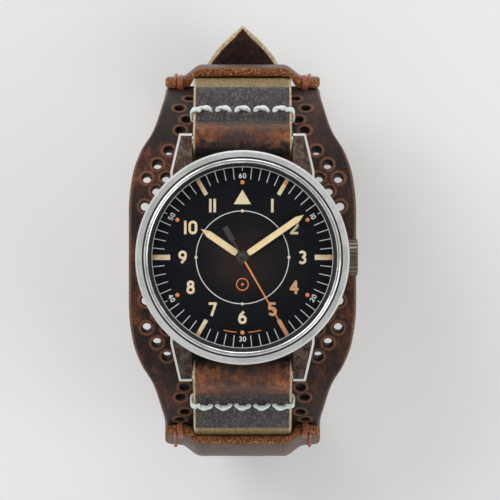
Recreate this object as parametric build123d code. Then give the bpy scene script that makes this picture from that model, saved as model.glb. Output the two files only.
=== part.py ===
from build123d import *
import os
from math import acos, asin, atan2, cos, degrees, hypot, pi, radians, sin, sqrt

# A pilot watch on a wide leather cuff strap, buckled shut and standing on the bottom of its loop.
# The dial faces +Z, 12 o'clock is +Y and the crown is +X. The hands turn about the Z axis.

# Clearances
run_gap = 0.03
seat_gap = 0.02
soft_gap = 0.2
leather_gap = 0.12
overrun = 3.0

# Head: the bezel's outer radius drives the case, the dial and the crystal
bezel_radius = 21.05
bezel_overhang = 0.65
bezel_ring_width = 1.3
bezel_groove_width = 0.35
bezel_groove_depth = 0.55
bezel_chamfer = 0.35
bezel_lip_rise = 0.45
bezel_lip_round = 0.28
bezel_skirt = 0.5
case_wall = 1.9
case_flat = 0.55
lip_step = 0.05
lug_gap = 20.0
lug_root_width = 4.2
lug_tip_width = 2.5
lug_bottom = 0.5
lug_tip_top = 3.9
lug_root_top = 7.3
lug_bite = 0.146
lug_bevel = 0.45
bar_radius = 0.9
bar_tip_radius = 0.5
bar_tip_length = 1.2
bar_inset = 1.4
bar_height = 2.6
back_flange = 0.85
back_flange_width = 1.1
back_floor = 1.45
back_thread_inset = 0.3
back_thread_top = 2.6
back_wall = 1.0
back_slots = 6
gasket_wire = 0.25
crystal_gasket_wall = 0.25
crystal_edge = 1.2
crystal_dome = 0.95
lip_over_crystal = 0.55
dial_inset = 0.1
dial_thickness = 0.45
dial_over_plate = 0.1
rehaut_width = 0.5
rehaut_height = 2.0
crystal_seat = 0.25

# Crown and stem
crown_radius = 3.75
crown_gap = 0.3
crown_depth = 2.05
crown_cap = 0.65
crown_seat = 0.5
crown_flutes = 24
crown_flute_radius = 0.3
crown_seal_room = 0.5
crown_chamfer = 0.3
tube_radius = 1.5
tube_inset = 0.6
stem_play = 0.15
stem_radius = 0.55
stem_pilot_radius = 0.25
stem_square = 0.7
stem_groove_radius = 0.33
crown_travel = 1.2
crown_mesh = 0.05

# Movement: plates, bridges, screws and jewels
plate_radius = 12.8
plate_thickness = 1.0
bridge_thickness = 0.4
bridge_over_back = 0.5
bridge_inset = 0.2
foot_width = 0.65
pillar_inset = 0.35
spacer_bottom = 2.75
arbor_radius = 0.16
pivot_radius = 0.09
jewel_radius = 0.5
screw_head_radius = 0.6
screw_head_height = 0.3
screw_shank_radius = 0.32
wheel_thickness = 0.16
foot_angles = (35.0, 78.0, 118.0, 163.0, 203.0)
cock_foot_angle = 248.0

# Going train: teeth and modules
barrel_module = 0.15
barrel_teeth = 72
centre_pinion_teeth = 12
centre_module = 0.11
centre_teeth = 64
third_pinion_teeth = 8
third_teeth = 60
fourth_pinion_teeth = 8
fourth_module = 0.09
fourth_teeth = 60
escape_pinion_teeth = 6
escape_radius = 2.2
escape_teeth = 15
motion_module = 0.12
cannon_teeth = 10
minute_wheel_teeth = 30
minute_pinion_teeth = 8
hour_wheel_teeth = 32
setting_teeth = 16
keyless_module = 0.2
ratchet_teeth = 32
crown_wheel_teeth = 32
keyless_pinion_teeth = 12
winding_radius = 1.2
sliding_radius = 0.95

# Directions from the centre arbor, in degrees from 3 o'clock
barrel_angle = 60.0
third_angle = 200.0
escape_angle = 290.0
balance_angle = 282.2
balance_distance = 8.5

# Barrel, ratchet, crown wheel and click
barrel_height = 1.45
barrel_wall = 0.35
barrel_lap = 0.1
barrel_over_bridge = 0.4
barrel_arbor_radius = 0.55
hub_radius = 1.2
mainspring_turns = 9
ratchet_thickness = 0.4
ratchet_gap = 0.1
crown_wheel_rise = 0.2
barrel_bridge_thickness = 0.35
click_distance = 1.6
click_room = 2.0
click_angle = 135.0
click_lean = 22.0

# Train: the tubes on the centre line, and the steps from wheel to wheel
fourth_arbor_radius = 0.15
centre_bore_gap = 0.05
centre_tube_wall = 0.18
cannon_tube_wall = 0.2
hour_tube_wall = 0.24
dial_hole_gap = 0.13
wheel_clearance = 0.1
third_step = 0.3
centre_step = 0.4
escape_step = 0.35

# Escapement and balance
pallet_bridge_thickness = 0.2
pallet_bridge_gap = 0.15
pallet_foot_distance = 3.9
pallet_arm = 0.26
pallet_nib = 0.14
fork_hub = 0.3
fork_waist = 0.16
fork_gap = 0.24
fork_horn = 0.09
fork_horn_length = 0.3
fork_horn_tip = 0.07
balance_radius = 4.0
balance_step = 0.33
balance_rim_height = 0.27
impulse_pin_radius = 0.07
hairspring_strip = 0.07
hairspring_depth = 0.14
hairspring_pitch = 0.28
hairspring_half_turns = 10
hairspring_drop = 0.32

# Motion work and keyless work
motion_depth = 0.35
motion_floor = 0.08
winding_length = 1.0
sliding_length = 2.0
groove_width = 0.5
groove_pin_radius = 0.2
yoke_pin_radius = 0.16
sliding_groove_share = 0.68
lever_post_radius = 0.4
setting_lever_reach = 2.4
yoke_reach = 2.6
keyless_step = 0.18
keyless_plate = 0.25

# Hands
hour_width = 1.5
hour_over_dial = 0.35
minute_width = 1.4
minute_over_hour = 0.5
seconds_width = 0.36
seconds_tail = 6.9
seconds_over_minute = 0.45
seconds_wall_gap = 0.3
minute_short_of_seconds = 2.8
hour_short_of_minute = 4.8
hand_thickness = 0.18
hand_boss_wall = 0.43
hour_angle = 304.5
minute_angle = 55.3
seconds_angle = 150.0

# Leather: the loop's height from the pad's outer face to the strap's inner face below
leather = 2.0
pad_leather = 2.5
strap_side_gap = 0.2
strap_to_case = 0.32
wrist_height = 44.6
pad_half_width = 22.6
pad_flat = 9.6
pad_curve_12 = 25.0
pad_turn_12 = 78.0
pad_end_curve_12 = 45.0
pad_curve_6 = 26.2
pad_turn_6 = 66.0
pad_end_curve_6 = 50.0
bridge_strip = 9.0
bridge_leather = 1.9
bridge_shoulder = 0.2
bridge_slope = 3.1
bridge_wing = 5.9
pad_hole_radius = 0.85
flap_length = 19.0
flap_leather = 1.2
flap_join = 6.0
fold_lean = 18.0
thread_radius = 0.45
thread_distance = 9.4
stitch_length = 2.6
stitch_gap = 1.2
stitch_count = 5
bridge_thread_radius = 0.35
bridge_stitch_length = 1.3
bridge_stitch_count = 4

# Buckle end: heights are out from the short strap's inner face, places are along Y
buckle_bar_radius = 0.7
buckle_bar_y = -7.0
skived = 0.9
buckle_flap_end = 6.0
buckle_flap_taper = 4.0
tail_lift = 1.8
tail_rise_turn = 13.0
tail_rise_curve = 12.0
tail_wrap_turn = 38.0
tail_straight = 19.5
tip_length = 17.0
tip_waist_share = 0.72
tip_waist_length_share = 0.52
tongue_hole_pitch = 6.5
tongue_hole_count = 5
tongue_hole_width = 2.2
tongue_hole_length = 6.0
tongue_hole_first = -3.6
frame_arm = 1.8
frame_arm_gap = 0.4
front_bar_near = -14.2
front_bar_far = -16.6
front_bar_depth = 2.2
frame_tip_radius = 0.4
tongue_width = 1.6
tongue_thickness = 1.05
tongue_ring = 0.55
tongue_recess = 1.25
keeper_leather = 1.28
keeper_width = 6.0
keeper_gap = 0.1
fixed_keeper_y = 0.0
floating_keeper_y = 10.0

# The pad's plan outline: along Y a share of its half width, and a share of the way from its ends' half
# width to its middle's. Its holes: shares of its half width, across and along
pad_outline_shares = ((0.40, 1.0), (0.752, 0.886), (0.965, 0.653), (1.146, 0.319), (1.363, 0.103),
                      (1.52, 0.0))
pad_hole_shares_12 = ((0.65, 0.942), (0.748, 0.819), (0.841, 0.695), (0.673, 0.699), (0.757, 0.584),
                      (0.858, 0.447), (0.562, 1.327), (0.549, 1.124), (0.473, 1.416), (0.496, 1.221))
pad_hole_shares_6 = ((0.664, 0.872), (0.752, 0.752), (0.841, 0.619), (0.66, 0.63), (0.745, 0.51),
                     (0.85, 0.38), (0.549, 1.243), (0.513, 1.150), (0.558, 1.447), (0.513, 1.376))

# Radii and places that follow from the bezel
body_radius = bezel_radius - bezel_overhang
case_bore = body_radius - case_wall
bezel_ring_inner = bezel_radius - bezel_ring_width
bezel_groove_inner = bezel_ring_inner - bezel_groove_width
bezel_lip_inner = case_bore + lip_step
crystal_radius = bezel_lip_inner - crystal_gasket_wall
dial_radius = case_bore - dial_inset
rehaut_inner = case_bore - rehaut_width
back_thread_radius = case_bore - back_thread_inset
back_flange_radius = back_thread_radius + back_flange_width
lug_root_y = sqrt(body_radius**2 - (lug_gap / 2 + lug_root_width) ** 2) - lug_bite
tube_inner_x = case_bore - tube_inset
tube_bore = stem_radius + stem_play
crown_inner_x = body_radius + crown_gap
crown_outer_x = crown_inner_x + crown_depth
crown_recess_end = crown_outer_x - crown_cap
crown_bore = tube_radius + crown_seal_room
tube_outer_x = crown_recess_end - crown_seat
seconds_length = rehaut_inner - seconds_wall_gap
minute_length = seconds_length - minute_short_of_seconds
hour_length = minute_length - hour_short_of_minute

# Radii that follow in the movement
foot_ring_outer = plate_radius - bridge_inset
foot_ring_inner = foot_ring_outer - foot_width
centre_bore = fourth_arbor_radius + centre_bore_gap
centre_tube_radius = centre_bore + centre_tube_wall
cannon_tube_radius = centre_tube_radius + cannon_tube_wall
hour_tube_radius = cannon_tube_radius + hour_tube_wall
hand_boss_radius = hour_tube_radius + hand_boss_wall
dial_hole = hour_tube_radius + dial_hole_gap

# Heights over the caseback's outer face, stacked from the caseback to the crystal
body_bottom = back_flange + lip_step
bridge_bottom = back_floor + bridge_over_back
bridge_top = bridge_bottom + bridge_thickness
ratchet_bottom = bridge_top
ratchet_top = ratchet_bottom + ratchet_thickness
crown_wheel_rim_top = ratchet_top + crown_wheel_rise
stem_height = crown_wheel_rim_top + winding_radius + crown_mesh
barrel_bridge_bottom = ratchet_top + ratchet_gap
barrel_bridge_top = barrel_bridge_bottom + barrel_bridge_thickness
barrel_floor = barrel_bridge_top + barrel_over_bridge
barrel_roof = barrel_floor + barrel_height
fourth_height = bridge_top + wheel_clearance
third_height = fourth_height + third_step
centre_height = third_height + centre_step
escape_height = centre_height + escape_step
balance_height = fourth_height + balance_step
hairspring_height = balance_height - hairspring_drop
pallet_bridge_top = escape_height - pallet_bridge_gap
pallet_bridge_bottom = pallet_bridge_top - pallet_bridge_thickness
plate_bottom = barrel_roof - barrel_lap
plate_top = plate_bottom + plate_thickness
motion_low = plate_bottom + motion_depth
motion_high = motion_low + 2 * wheel_thickness
motion_recess = motion_low - motion_floor
keyless_low = motion_low + keyless_step
dial_bottom = plate_top + dial_over_plate
dial_top = dial_bottom + dial_thickness
hour_height = dial_top + hour_over_dial
minute_height = hour_height + minute_over_hour
seconds_height = minute_height + seconds_over_minute
rehaut_top = dial_top + rehaut_height
crystal_bottom = rehaut_top + crystal_seat
crystal_edge_top = crystal_bottom + crystal_edge
crystal_top = crystal_edge_top + crystal_dome
bezel_lip_top = crystal_edge_top + lip_over_crystal
bezel_ring_top = bezel_lip_top - bezel_lip_rise
bezel_bottom = rehaut_top - bezel_skirt

# Widths that follow from the strap's, which fits between the lugs
strap_width = lug_gap - 2 * strap_side_gap
bridge_flat_half = strap_width / 2 - bridge_shoulder
bridge_slope_half = strap_width / 2 + bridge_slope
pad_end_half_width = strap_width / 2 + bridge_wing

# Heights that follow from the buckle's stack, out from the short strap's inner face
buckle_hole = buckle_bar_radius + run_gap
buckle_bar_out = skived + buckle_hole
buckle_fold_out = buckle_bar_out + buckle_hole + skived
tail_in = buckle_fold_out + leather_gap
tail_out = tail_in + leather
keeper_in = tail_out + keeper_gap
keeper_out = keeper_in + keeper_leather
strap_bottom = keeper_out
pad_top = strap_bottom + wrist_height
head = pad_top + keeper_gap
body_flat = body_radius - case_flat
bar_hole = bar_radius + run_gap
fold_out = bar_hole + leather
bar_y = body_flat + strap_to_case + fold_out
bar_z = head + bar_height
lug_end = bar_y + bar_inset


# Flat outlines and simple turned solids


def face_of(edges):
    """A face inside edges that follow each other."""
    return Face(Wire(edges))


def ring(outer, inner, low, high):
    """A plain ring about the Z axis, with its heights over the caseback's outer face."""
    solid = Pos(0, 0, head + low) * extrude(Circle(outer) - Circle(inner), high - low)
    return solid


def disc(radius, low, high, place=(0, 0)):
    """A disc or round rod about Z at a place in plan."""
    return Pos(place[0], place[1], head + low) * extrude(Circle(radius), high - low)


def turned(points):
    """A solid turned about Z from (radius, height over the caseback's outer face) corners."""
    corners = [(radius, 0, head + height) for radius, height in points]
    return revolve(face_of(Polyline(*corners, close=True).edges()), Axis.Z)


def rod_x(radius, start, end, z, y=0.0):
    """A round rod along X."""
    return Pos(start, y, z) * Rot(0, 90, 0) * extrude(Circle(radius), end - start)


def block(x0, x1, y0, y1, z0, z1):
    """A box between two corners."""
    middle = Pos((x0 + x1) / 2, (y0 + y1) / 2, (z0 + z1) / 2)
    return middle * Box(abs(x1 - x0), abs(y1 - y0), abs(z1 - z0))


def polar(distance, angle, start=(0, 0)):
    """A place in plan at a distance and a direction in degrees."""
    return start[0] + distance * cos(radians(angle)), start[1] + distance * sin(radians(angle))


def gear(teeth, module, thickness, bore, low, place=(0, 0), phase=0.0):
    """A wheel with plain tapered teeth about Z. One tooth points along the phase, in degrees."""
    pitch = teeth * module / 2
    tip, root = pitch + 0.9 * module, pitch - 1.2 * module
    step = 2 * pi / teeth
    corners = []
    for tooth in range(teeth):
        middle = radians(phase) + tooth * step
        for radius, share in ((root, -0.30), (tip, -0.12), (tip, 0.12), (root, 0.30)):
            corners.append((radius * cos(middle + share * step), radius * sin(middle + share * step)))
    outline = make_face(Polyline(*corners, close=True))
    if bore:
        outline = outline - Circle(bore)
    return Pos(place[0], place[1], head + low) * extrude(outline, thickness)


def spokes(radius, inner, count, width, low, thickness, place=(0, 0)):
    """The round windows between a wheel's spokes, to be cut out of it."""
    windows = Circle(radius) - Circle(inner)
    for turn in range(count):
        windows = windows - Rot(0, 0, 360 * turn / count) * Pos(radius / 2, 0) * Rectangle(radius, width)
    return Pos(place[0], place[1], head + low) * extrude(windows, thickness)


def spiral_strip(inner, pitch, half_turns, thickness, low, high, place):
    """A flat strip wound in half turns whose centres change sides, so that it spreads steadily."""
    inside, outside = [], []
    radius, side = inner, 1
    centre = 0.0
    for turn in range(half_turns):
        for edges, reach in ((inside, radius), (outside, radius + thickness)):
            start = (centre + side * reach, 0)
            middle = (centre, side * reach)
            end = (centre - side * reach, 0)
            edges.append(ThreePointArc(start, middle, end))
        centre += side * pitch / 2
        radius += pitch / 2
        side = -side
    first = Line(inside[0] @ 0, outside[0] @ 0)
    last = Line(inside[-1] @ 1, outside[-1] @ 1)
    strip = make_face(inside + outside + [first, last])
    return Pos(place[0], place[1], head + low) * extrude(strip, high - low)


def hull_outline(places, radii):
    """The outline in plan that goes round circles."""
    rounds = [(Pos(x, y) * Circle(radius)).edge() for (x, y), radius in zip(places, radii)]
    return make_hull(rounds)


def hull_bar(places, radii, low, high):
    """A flat bar round circles in plan."""
    return Pos(0, 0, head + low) * extrude(hull_outline(places, radii), high - low)


# Runs of the loop in the YZ plane


def walk(start, heading, steps):
    """Straights and arcs laid end to end. A step is a length and its turn in degrees toward the wrist."""
    pieces = []
    y, z = start
    for length, turn in steps:
        pieces.append((y, z, heading, length, turn))
        if turn:
            radius = length / radians(turn)
            y += radius * (sin(radians(heading + turn)) - sin(radians(heading)))
            z += radius * (cos(radians(heading + turn)) - cos(radians(heading)))
            heading += turn
        else:
            y += length * cos(radians(heading))
            z -= length * sin(radians(heading))
    return pieces


def spot(piece, share, out=0.0):
    """The place and heading at a share of a piece, a distance out from its line."""
    y, z, heading, length, turn = piece
    if turn:
        radius = length / radians(turn)
        now = heading + share * turn
        y += radius * (sin(radians(now)) - sin(radians(heading)))
        z += radius * (cos(radians(now)) - cos(radians(heading)))
    else:
        now = heading
        y += share * length * cos(radians(now))
        z -= share * length * sin(radians(now))
    return y + out * sin(radians(now)), z + out * cos(radians(now)), now


def arc_step(radius, turn):
    """A step that turns at a radius."""
    return radius * radians(abs(turn)), turn


def line_at(pieces, out, side):
    """The edges of a walk, a distance out from its line, on the +Y or -Y side."""
    edges = []
    for piece in pieces:
        places = [spot(piece, share, out) for share in (0, 0.5, 1)]
        points = [(0, side * y, z) for y, z, _ in places]
        edges.append(ThreePointArc(*points) if piece[4] else Line(points[0], points[2]))
    return edges


def band(pieces, low, high, side, width):
    """A sheet of leather along a walk, between two distances out from its line."""
    inner, outer = line_at(pieces, low, side), line_at(pieces, high, side)
    ends = [Line(inner[0] @ 0, outer[0] @ 0), Line(inner[-1] @ 1, outer[-1] @ 1)]
    return extrude(face_of(inner + outer + ends), width / 2, dir=(1, 0, 0), both=True)


def side_plate(points, x0, x1):
    """A plate between two X values, from (Y, Z) corners."""
    corners = [(x0, y, z) for y, z in points]
    return extrude(face_of(Polyline(*corners, close=True).edges()), x1 - x0, dir=(1, 0, 0))


def below(points):
    """(Y, Z) corners from (Y, out) corners on the flat bottom of the loop."""
    return [(y, strap_bottom - out) for y, out in points]


# The loop's lines


def pad_walk(curve, turn, end_curve):
    """The pad's outer face from under the dial's centre to its end."""
    end_turn = degrees(bridge_strip / end_curve)
    return walk((0, pad_top), 0, [(pad_flat, 0), arc_step(curve, turn), arc_step(end_curve, end_turn)])


def strap_walk(curve, turn, end_curve, drop, rest):
    """The strap's inner face from its fold round the spring bar, over the pad, and round to the bottom."""
    seat = curve + soft_gap
    across, up = bar_y - pad_flat, bar_z - (pad_top - curve)
    apart = hypot(across, up)
    opening = degrees(acos((seat + fold_out) / apart))
    first = degrees(atan2(across, up)) + opening
    start = (bar_y - fold_out * sin(radians(first)), bar_z - fold_out * cos(radians(first)))
    straight = sqrt(apart**2 - (seat + fold_out) ** 2)
    end_turn = degrees(bridge_strip / end_curve)
    steps = [(straight, 0), arc_step(seat, turn - first), arc_step(end_curve + soft_gap, end_turn)]
    y, z, now = spot(walk(start, first, steps)[-1], 1)
    corner = (z - drop) / (1 + cos(radians(now)))
    return walk(start, first, steps + [arc_step(corner, 180 - now)] + rest)


pad_12 = pad_walk(pad_curve_12, pad_turn_12, pad_end_curve_12)
pad_6 = pad_walk(pad_curve_6, pad_turn_6, pad_end_curve_6)
corner_12 = strap_walk(pad_curve_12, pad_turn_12, pad_end_curve_12, strap_bottom, [])
bottom_start_12 = spot(corner_12[-1], 1)[0]
short_line = strap_walk(pad_curve_12, pad_turn_12, pad_end_curve_12, strap_bottom,
                        [(bottom_start_12 - buckle_bar_y, 0)])
corner_6 = strap_walk(pad_curve_6, pad_turn_6, pad_end_curve_6, strap_bottom - tail_lift, [])
bottom_start_6 = spot(corner_6[-1], 1)[0]
rise = tail_in - tail_lift
rise_arcs = 2 * tail_rise_curve * (1 - cos(radians(tail_rise_turn)))
rise_straight = (rise - rise_arcs) / sin(radians(tail_rise_turn))
rise_run = 2 * tail_rise_curve * sin(radians(tail_rise_turn)) + rise_straight * cos(radians(tail_rise_turn))
rise_end = -buckle_bar_y + 2 * buckle_hole
tail_corner = corner_12[-1][3] / radians(corner_12[-1][4]) + tail_in
tongue_middle = buckle_bar_y + tongue_hole_first
long_line = strap_walk(
    pad_curve_6, pad_turn_6, pad_end_curve_6, strap_bottom - tail_lift,
    [(bottom_start_6 - rise_end - rise_run, 0),
     arc_step(tail_rise_curve, -tail_rise_turn),
     (rise_straight, 0),
     arc_step(tail_rise_curve, tail_rise_turn),
     (rise_end + bottom_start_12, 0),
     arc_step(tail_corner, tail_wrap_turn),
     (tail_straight, 0)],
)


# Head


def case_body():
    """The case middle with its four lugs, bored for the movement, the crown tube and the spring bars."""
    body = ring(body_radius, case_bore, body_bottom, bezel_bottom)
    for side in (-1, 1):
        body -= block(-lug_gap / 2, lug_gap / 2, side * body_flat, side * (body_flat + overrun),
                      head, head + bezel_bottom)
    for side_x in (-1, 1):
        for side_y in (-1, 1):
            body += lug(side_x, side_y)
    body -= disc(case_bore, 0, bezel_bottom)
    body -= disc(back_flange_radius + run_gap, 0, back_flange + seat_gap)
    body -= rod_x(tube_radius + seat_gap, case_bore - overrun, body_radius + overrun, head + stem_height)
    for side in (-1, 1):
        reach = lug_gap / 2 + bar_tip_length + run_gap
        body -= rod_x(bar_tip_radius + run_gap, -reach, reach, bar_z, side * bar_y)
    return body


def lug(side_x, side_y):
    """One lug: a tapered plan outline cut by its side outline, with a bevel along its outer edge."""
    inner, tip_y = lug_gap / 2, lug_end
    plan = [(inner, lug_root_y), (inner, tip_y), (inner + lug_tip_width, tip_y),
            (inner + lug_root_width, lug_root_y + lug_tip_width), (inner + lug_root_width, lug_root_y)]
    outline = make_face(Polyline(*[(side_x * x, side_y * y) for x, y in plan], close=True))
    prism = Pos(0, 0, head) * extrude(outline, bezel_bottom)
    tip_heel = lug_bottom + lug_bevel
    side = [(lug_root_y, body_bottom), (tip_y - lug_tip_width, lug_bottom), (tip_y, tip_heel),
            (tip_y, lug_tip_top - lug_bevel), (tip_y - lug_bevel, lug_tip_top), (lug_root_y, lug_root_top)]
    profile = [(side_y * y, head + z) for y, z in side]
    shape = prism & side_plate(profile, -bezel_radius, bezel_radius)
    outer = [edge for edge in shape.edges()
             if side_x * edge.center().X > inner + lug_tip_width
             and edge.center().Z > head + lug_tip_top
             and abs(edge.tangent_at(0.5).Y) > 0.5]
    return chamfer(outer, lug_bevel)


def bezel():
    """The bezel: an outer ring, a groove, and a rounded lip that holds the crystal."""
    shoulder, groove = bezel_lip_top - bezel_lip_round, bezel_ring_top - bezel_groove_depth
    places = [(bezel_groove_inner, shoulder), (bezel_groove_inner, groove), (bezel_ring_inner, groove),
              (bezel_ring_inner, bezel_ring_top), (bezel_radius - bezel_chamfer, bezel_ring_top),
              (bezel_radius, bezel_ring_top - bezel_chamfer), (bezel_radius, bezel_bottom + seat_gap),
              (bezel_lip_inner, bezel_bottom + seat_gap), (bezel_lip_inner, shoulder)]
    corners = [(radius, 0, head + height) for radius, height in places]
    crest = ((bezel_groove_inner + bezel_lip_inner) / 2, 0, head + bezel_lip_top)
    edges = [Line(first, second) for first, second in zip(corners, corners[1:])]
    return revolve(face_of(edges + [ThreePointArc(corners[-1], crest, corners[0])]), Axis.Z)


def crystal():
    """The crystal: a flat-backed glass with a domed front."""
    edge = [(0, 0, head + crystal_bottom), (crystal_radius, 0, head + crystal_bottom),
            (crystal_radius, 0, head + crystal_edge_top)]
    top = (0, 0, head + crystal_top)
    rise_height = crystal_top - crystal_edge_top
    dome = (crystal_radius**2 + rise_height**2) / (2 * rise_height)
    half = crystal_radius / 2
    middle = (half, 0, top[2] - dome + sqrt(dome**2 - half**2))
    edges = [Line(edge[0], edge[1]), Line(edge[1], edge[2]), ThreePointArc(edge[2], middle, top),
             Line(top, edge[0])]
    return revolve(face_of(edges), Axis.Z)


def crystal_gasket():
    """The dark gasket: a seat under the crystal and a thin wall round it."""
    seat, wall = rehaut_top + seat_gap, bezel_lip_inner - seat_gap
    return turned([(rehaut_inner + seat_gap, seat), (wall, seat), (wall, crystal_edge_top),
                   (crystal_radius + seat_gap, crystal_edge_top),
                   (crystal_radius + seat_gap, crystal_bottom - seat_gap),
                   (rehaut_inner + seat_gap, crystal_bottom - seat_gap)])


def rehaut():
    """The black ring between the dial and the crystal."""
    return ring(case_bore - seat_gap, rehaut_inner, dial_top + seat_gap, rehaut_top)


def caseback():
    """The screwed caseback: a flange, a threaded wall, and six slots for a key."""
    back = turned([(0, 0), (back_flange_radius, 0), (back_flange_radius, back_flange),
                   (back_thread_radius, back_flange), (back_thread_radius, back_thread_top),
                   (back_thread_radius - back_wall, back_thread_top),
                   (back_thread_radius - back_wall, back_floor), (0, back_floor)])
    slot_depth = back_flange / 2
    for turn in range(back_slots):
        slot = block(back_flange_radius - back_wall, back_flange_radius + overrun, -back_wall, back_wall,
                     head - overrun, head + slot_depth)
        back -= Rot(0, 0, 360 * turn / back_slots) * slot
    return back


def caseback_gasket():
    """The gasket round the caseback's threaded wall, under the case."""
    outer = case_bore - seat_gap
    return ring(outer, back_thread_radius + seat_gap, back_flange + seat_gap,
                back_flange + 2 * gasket_wire)


def movement_ring():
    """The spacer that centres the movement in the case, with a slot for the stem."""
    spacer = ring(case_bore - seat_gap, plate_radius + seat_gap, spacer_bottom, plate_top)
    slot = rod_x(stem_radius + 2 * stem_pilot_radius, plate_radius - overrun, case_bore + overrun,
                 head + stem_height)
    tube_seat = rod_x(tube_radius + seat_gap, tube_inner_x - seat_gap, case_bore + overrun,
                      head + stem_height)
    return spacer - slot - tube_seat


def spring_bar(radius, half, tip_radius, tip_length, y, z):
    """A spring bar: a tube with a thinner sprung tip at each end."""
    bar = rod_x(radius, -half, half, z, y)
    return bar + rod_x(tip_radius, -half - tip_length, half + tip_length, z, y)


def lug_bar(side):
    """The spring bar between the lugs, on the +Y or -Y side."""
    return spring_bar(bar_radius, lug_gap / 2 - run_gap, bar_tip_radius, bar_tip_length, side * bar_y, bar_z)


def crown_tube():
    """The tube pressed into the case, through which the stem runs."""
    tube = rod_x(tube_radius, tube_inner_x, tube_outer_x, head + stem_height)
    return tube - rod_x(tube_bore, tube_inner_x - overrun, tube_outer_x + overrun, head + stem_height)


def crown():
    """The fluted crown, hollow over the tube."""
    axis_z = head + stem_height
    body = rod_x(crown_radius, crown_inner_x, crown_outer_x, axis_z)
    rims = body.edges().filter_by(GeomType.CIRCLE).group_by(Axis.X)
    body = chamfer(rims[0] + rims[-1], crown_chamfer)
    for flute in range(crown_flutes):
        angle = 360 * (flute + 0.5) / crown_flutes
        y = crown_radius * cos(radians(angle))
        z = axis_z + crown_radius * sin(radians(angle))
        body -= rod_x(crown_flute_radius, crown_inner_x - overrun, crown_outer_x + overrun, z, y)
    body -= rod_x(crown_bore, crown_inner_x - overrun, crown_recess_end, axis_z)
    return body + rod_x(stem_radius, tube_outer_x, crown_recess_end + stem_radius, axis_z)


def crown_gasket():
    """The sealing ring in the crown, round the tube."""
    thick = crown_bore - tube_radius - 2 * seat_gap
    middle = crown_inner_x + (crown_recess_end - crown_inner_x) / 3
    seal = rod_x(crown_bore - seat_gap, middle, middle + thick, head + stem_height)
    return seal - rod_x(tube_radius + seat_gap, middle - overrun, middle + overrun, head + stem_height)


# Movement layout


barrel_place = polar((barrel_teeth + centre_pinion_teeth) * barrel_module / 2, barrel_angle)
third_distance = (centre_teeth + third_pinion_teeth) * centre_module / 2
third_place = polar(third_distance, third_angle)
third_module = 2 * third_distance / (third_teeth + fourth_pinion_teeth)
escape_place = polar((fourth_teeth + escape_pinion_teeth) * fourth_module / 2, escape_angle)
balance_place = polar(balance_distance, balance_angle)
escape_to_balance = hypot(balance_place[0] - escape_place[0], balance_place[1] - escape_place[1])
pallet_heading = degrees(atan2(balance_place[1] - escape_place[1], balance_place[0] - escape_place[0]))
pallet_place = polar(1.25 * escape_radius, pallet_heading, escape_place)
ratchet_radius = ratchet_teeth * keyless_module / 2
crown_wheel_radius = crown_wheel_teeth * keyless_module / 2
crown_wheel_x = barrel_place[0] + sqrt((ratchet_radius + crown_wheel_radius) ** 2 - barrel_place[1] ** 2)
crown_wheel_place = (crown_wheel_x, 0)
winding_x = crown_wheel_x + crown_wheel_radius
winding_start = winding_x - winding_length / 2
sliding_start = winding_start - sliding_length - 2 * run_gap
clutch_travel = crown_travel / 2
groove_x = winding_start + winding_length + sliding_radius / 2
minute_wheel_place = ((cannon_teeth + minute_wheel_teeth) * motion_module / 2, 0)
setting_place = (minute_wheel_place[0] + (minute_wheel_teeth + setting_teeth) * motion_module / 2, 0)
lever_pivot = (groove_x + crown_travel / 2, setting_lever_reach)
yoke_groove_x = sliding_start + sliding_length / 2
yoke_pivot = (yoke_groove_x - clutch_travel / 2, -yoke_reach)
cock_foot = polar(foot_ring_inner - jewel_radius, cock_foot_angle)
pallet_feet = [polar(pallet_foot_distance, pallet_heading + turn, pallet_place) for turn in (-90, 90)]
click_place = polar(ratchet_radius + click_distance, click_angle, barrel_place)
foot_middle = (foot_ring_inner + foot_ring_outer) / 2 - pillar_inset


def movement_pillar(angle):
    """The place of a bridge foot and its screw."""
    return polar(foot_middle, angle)


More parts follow.
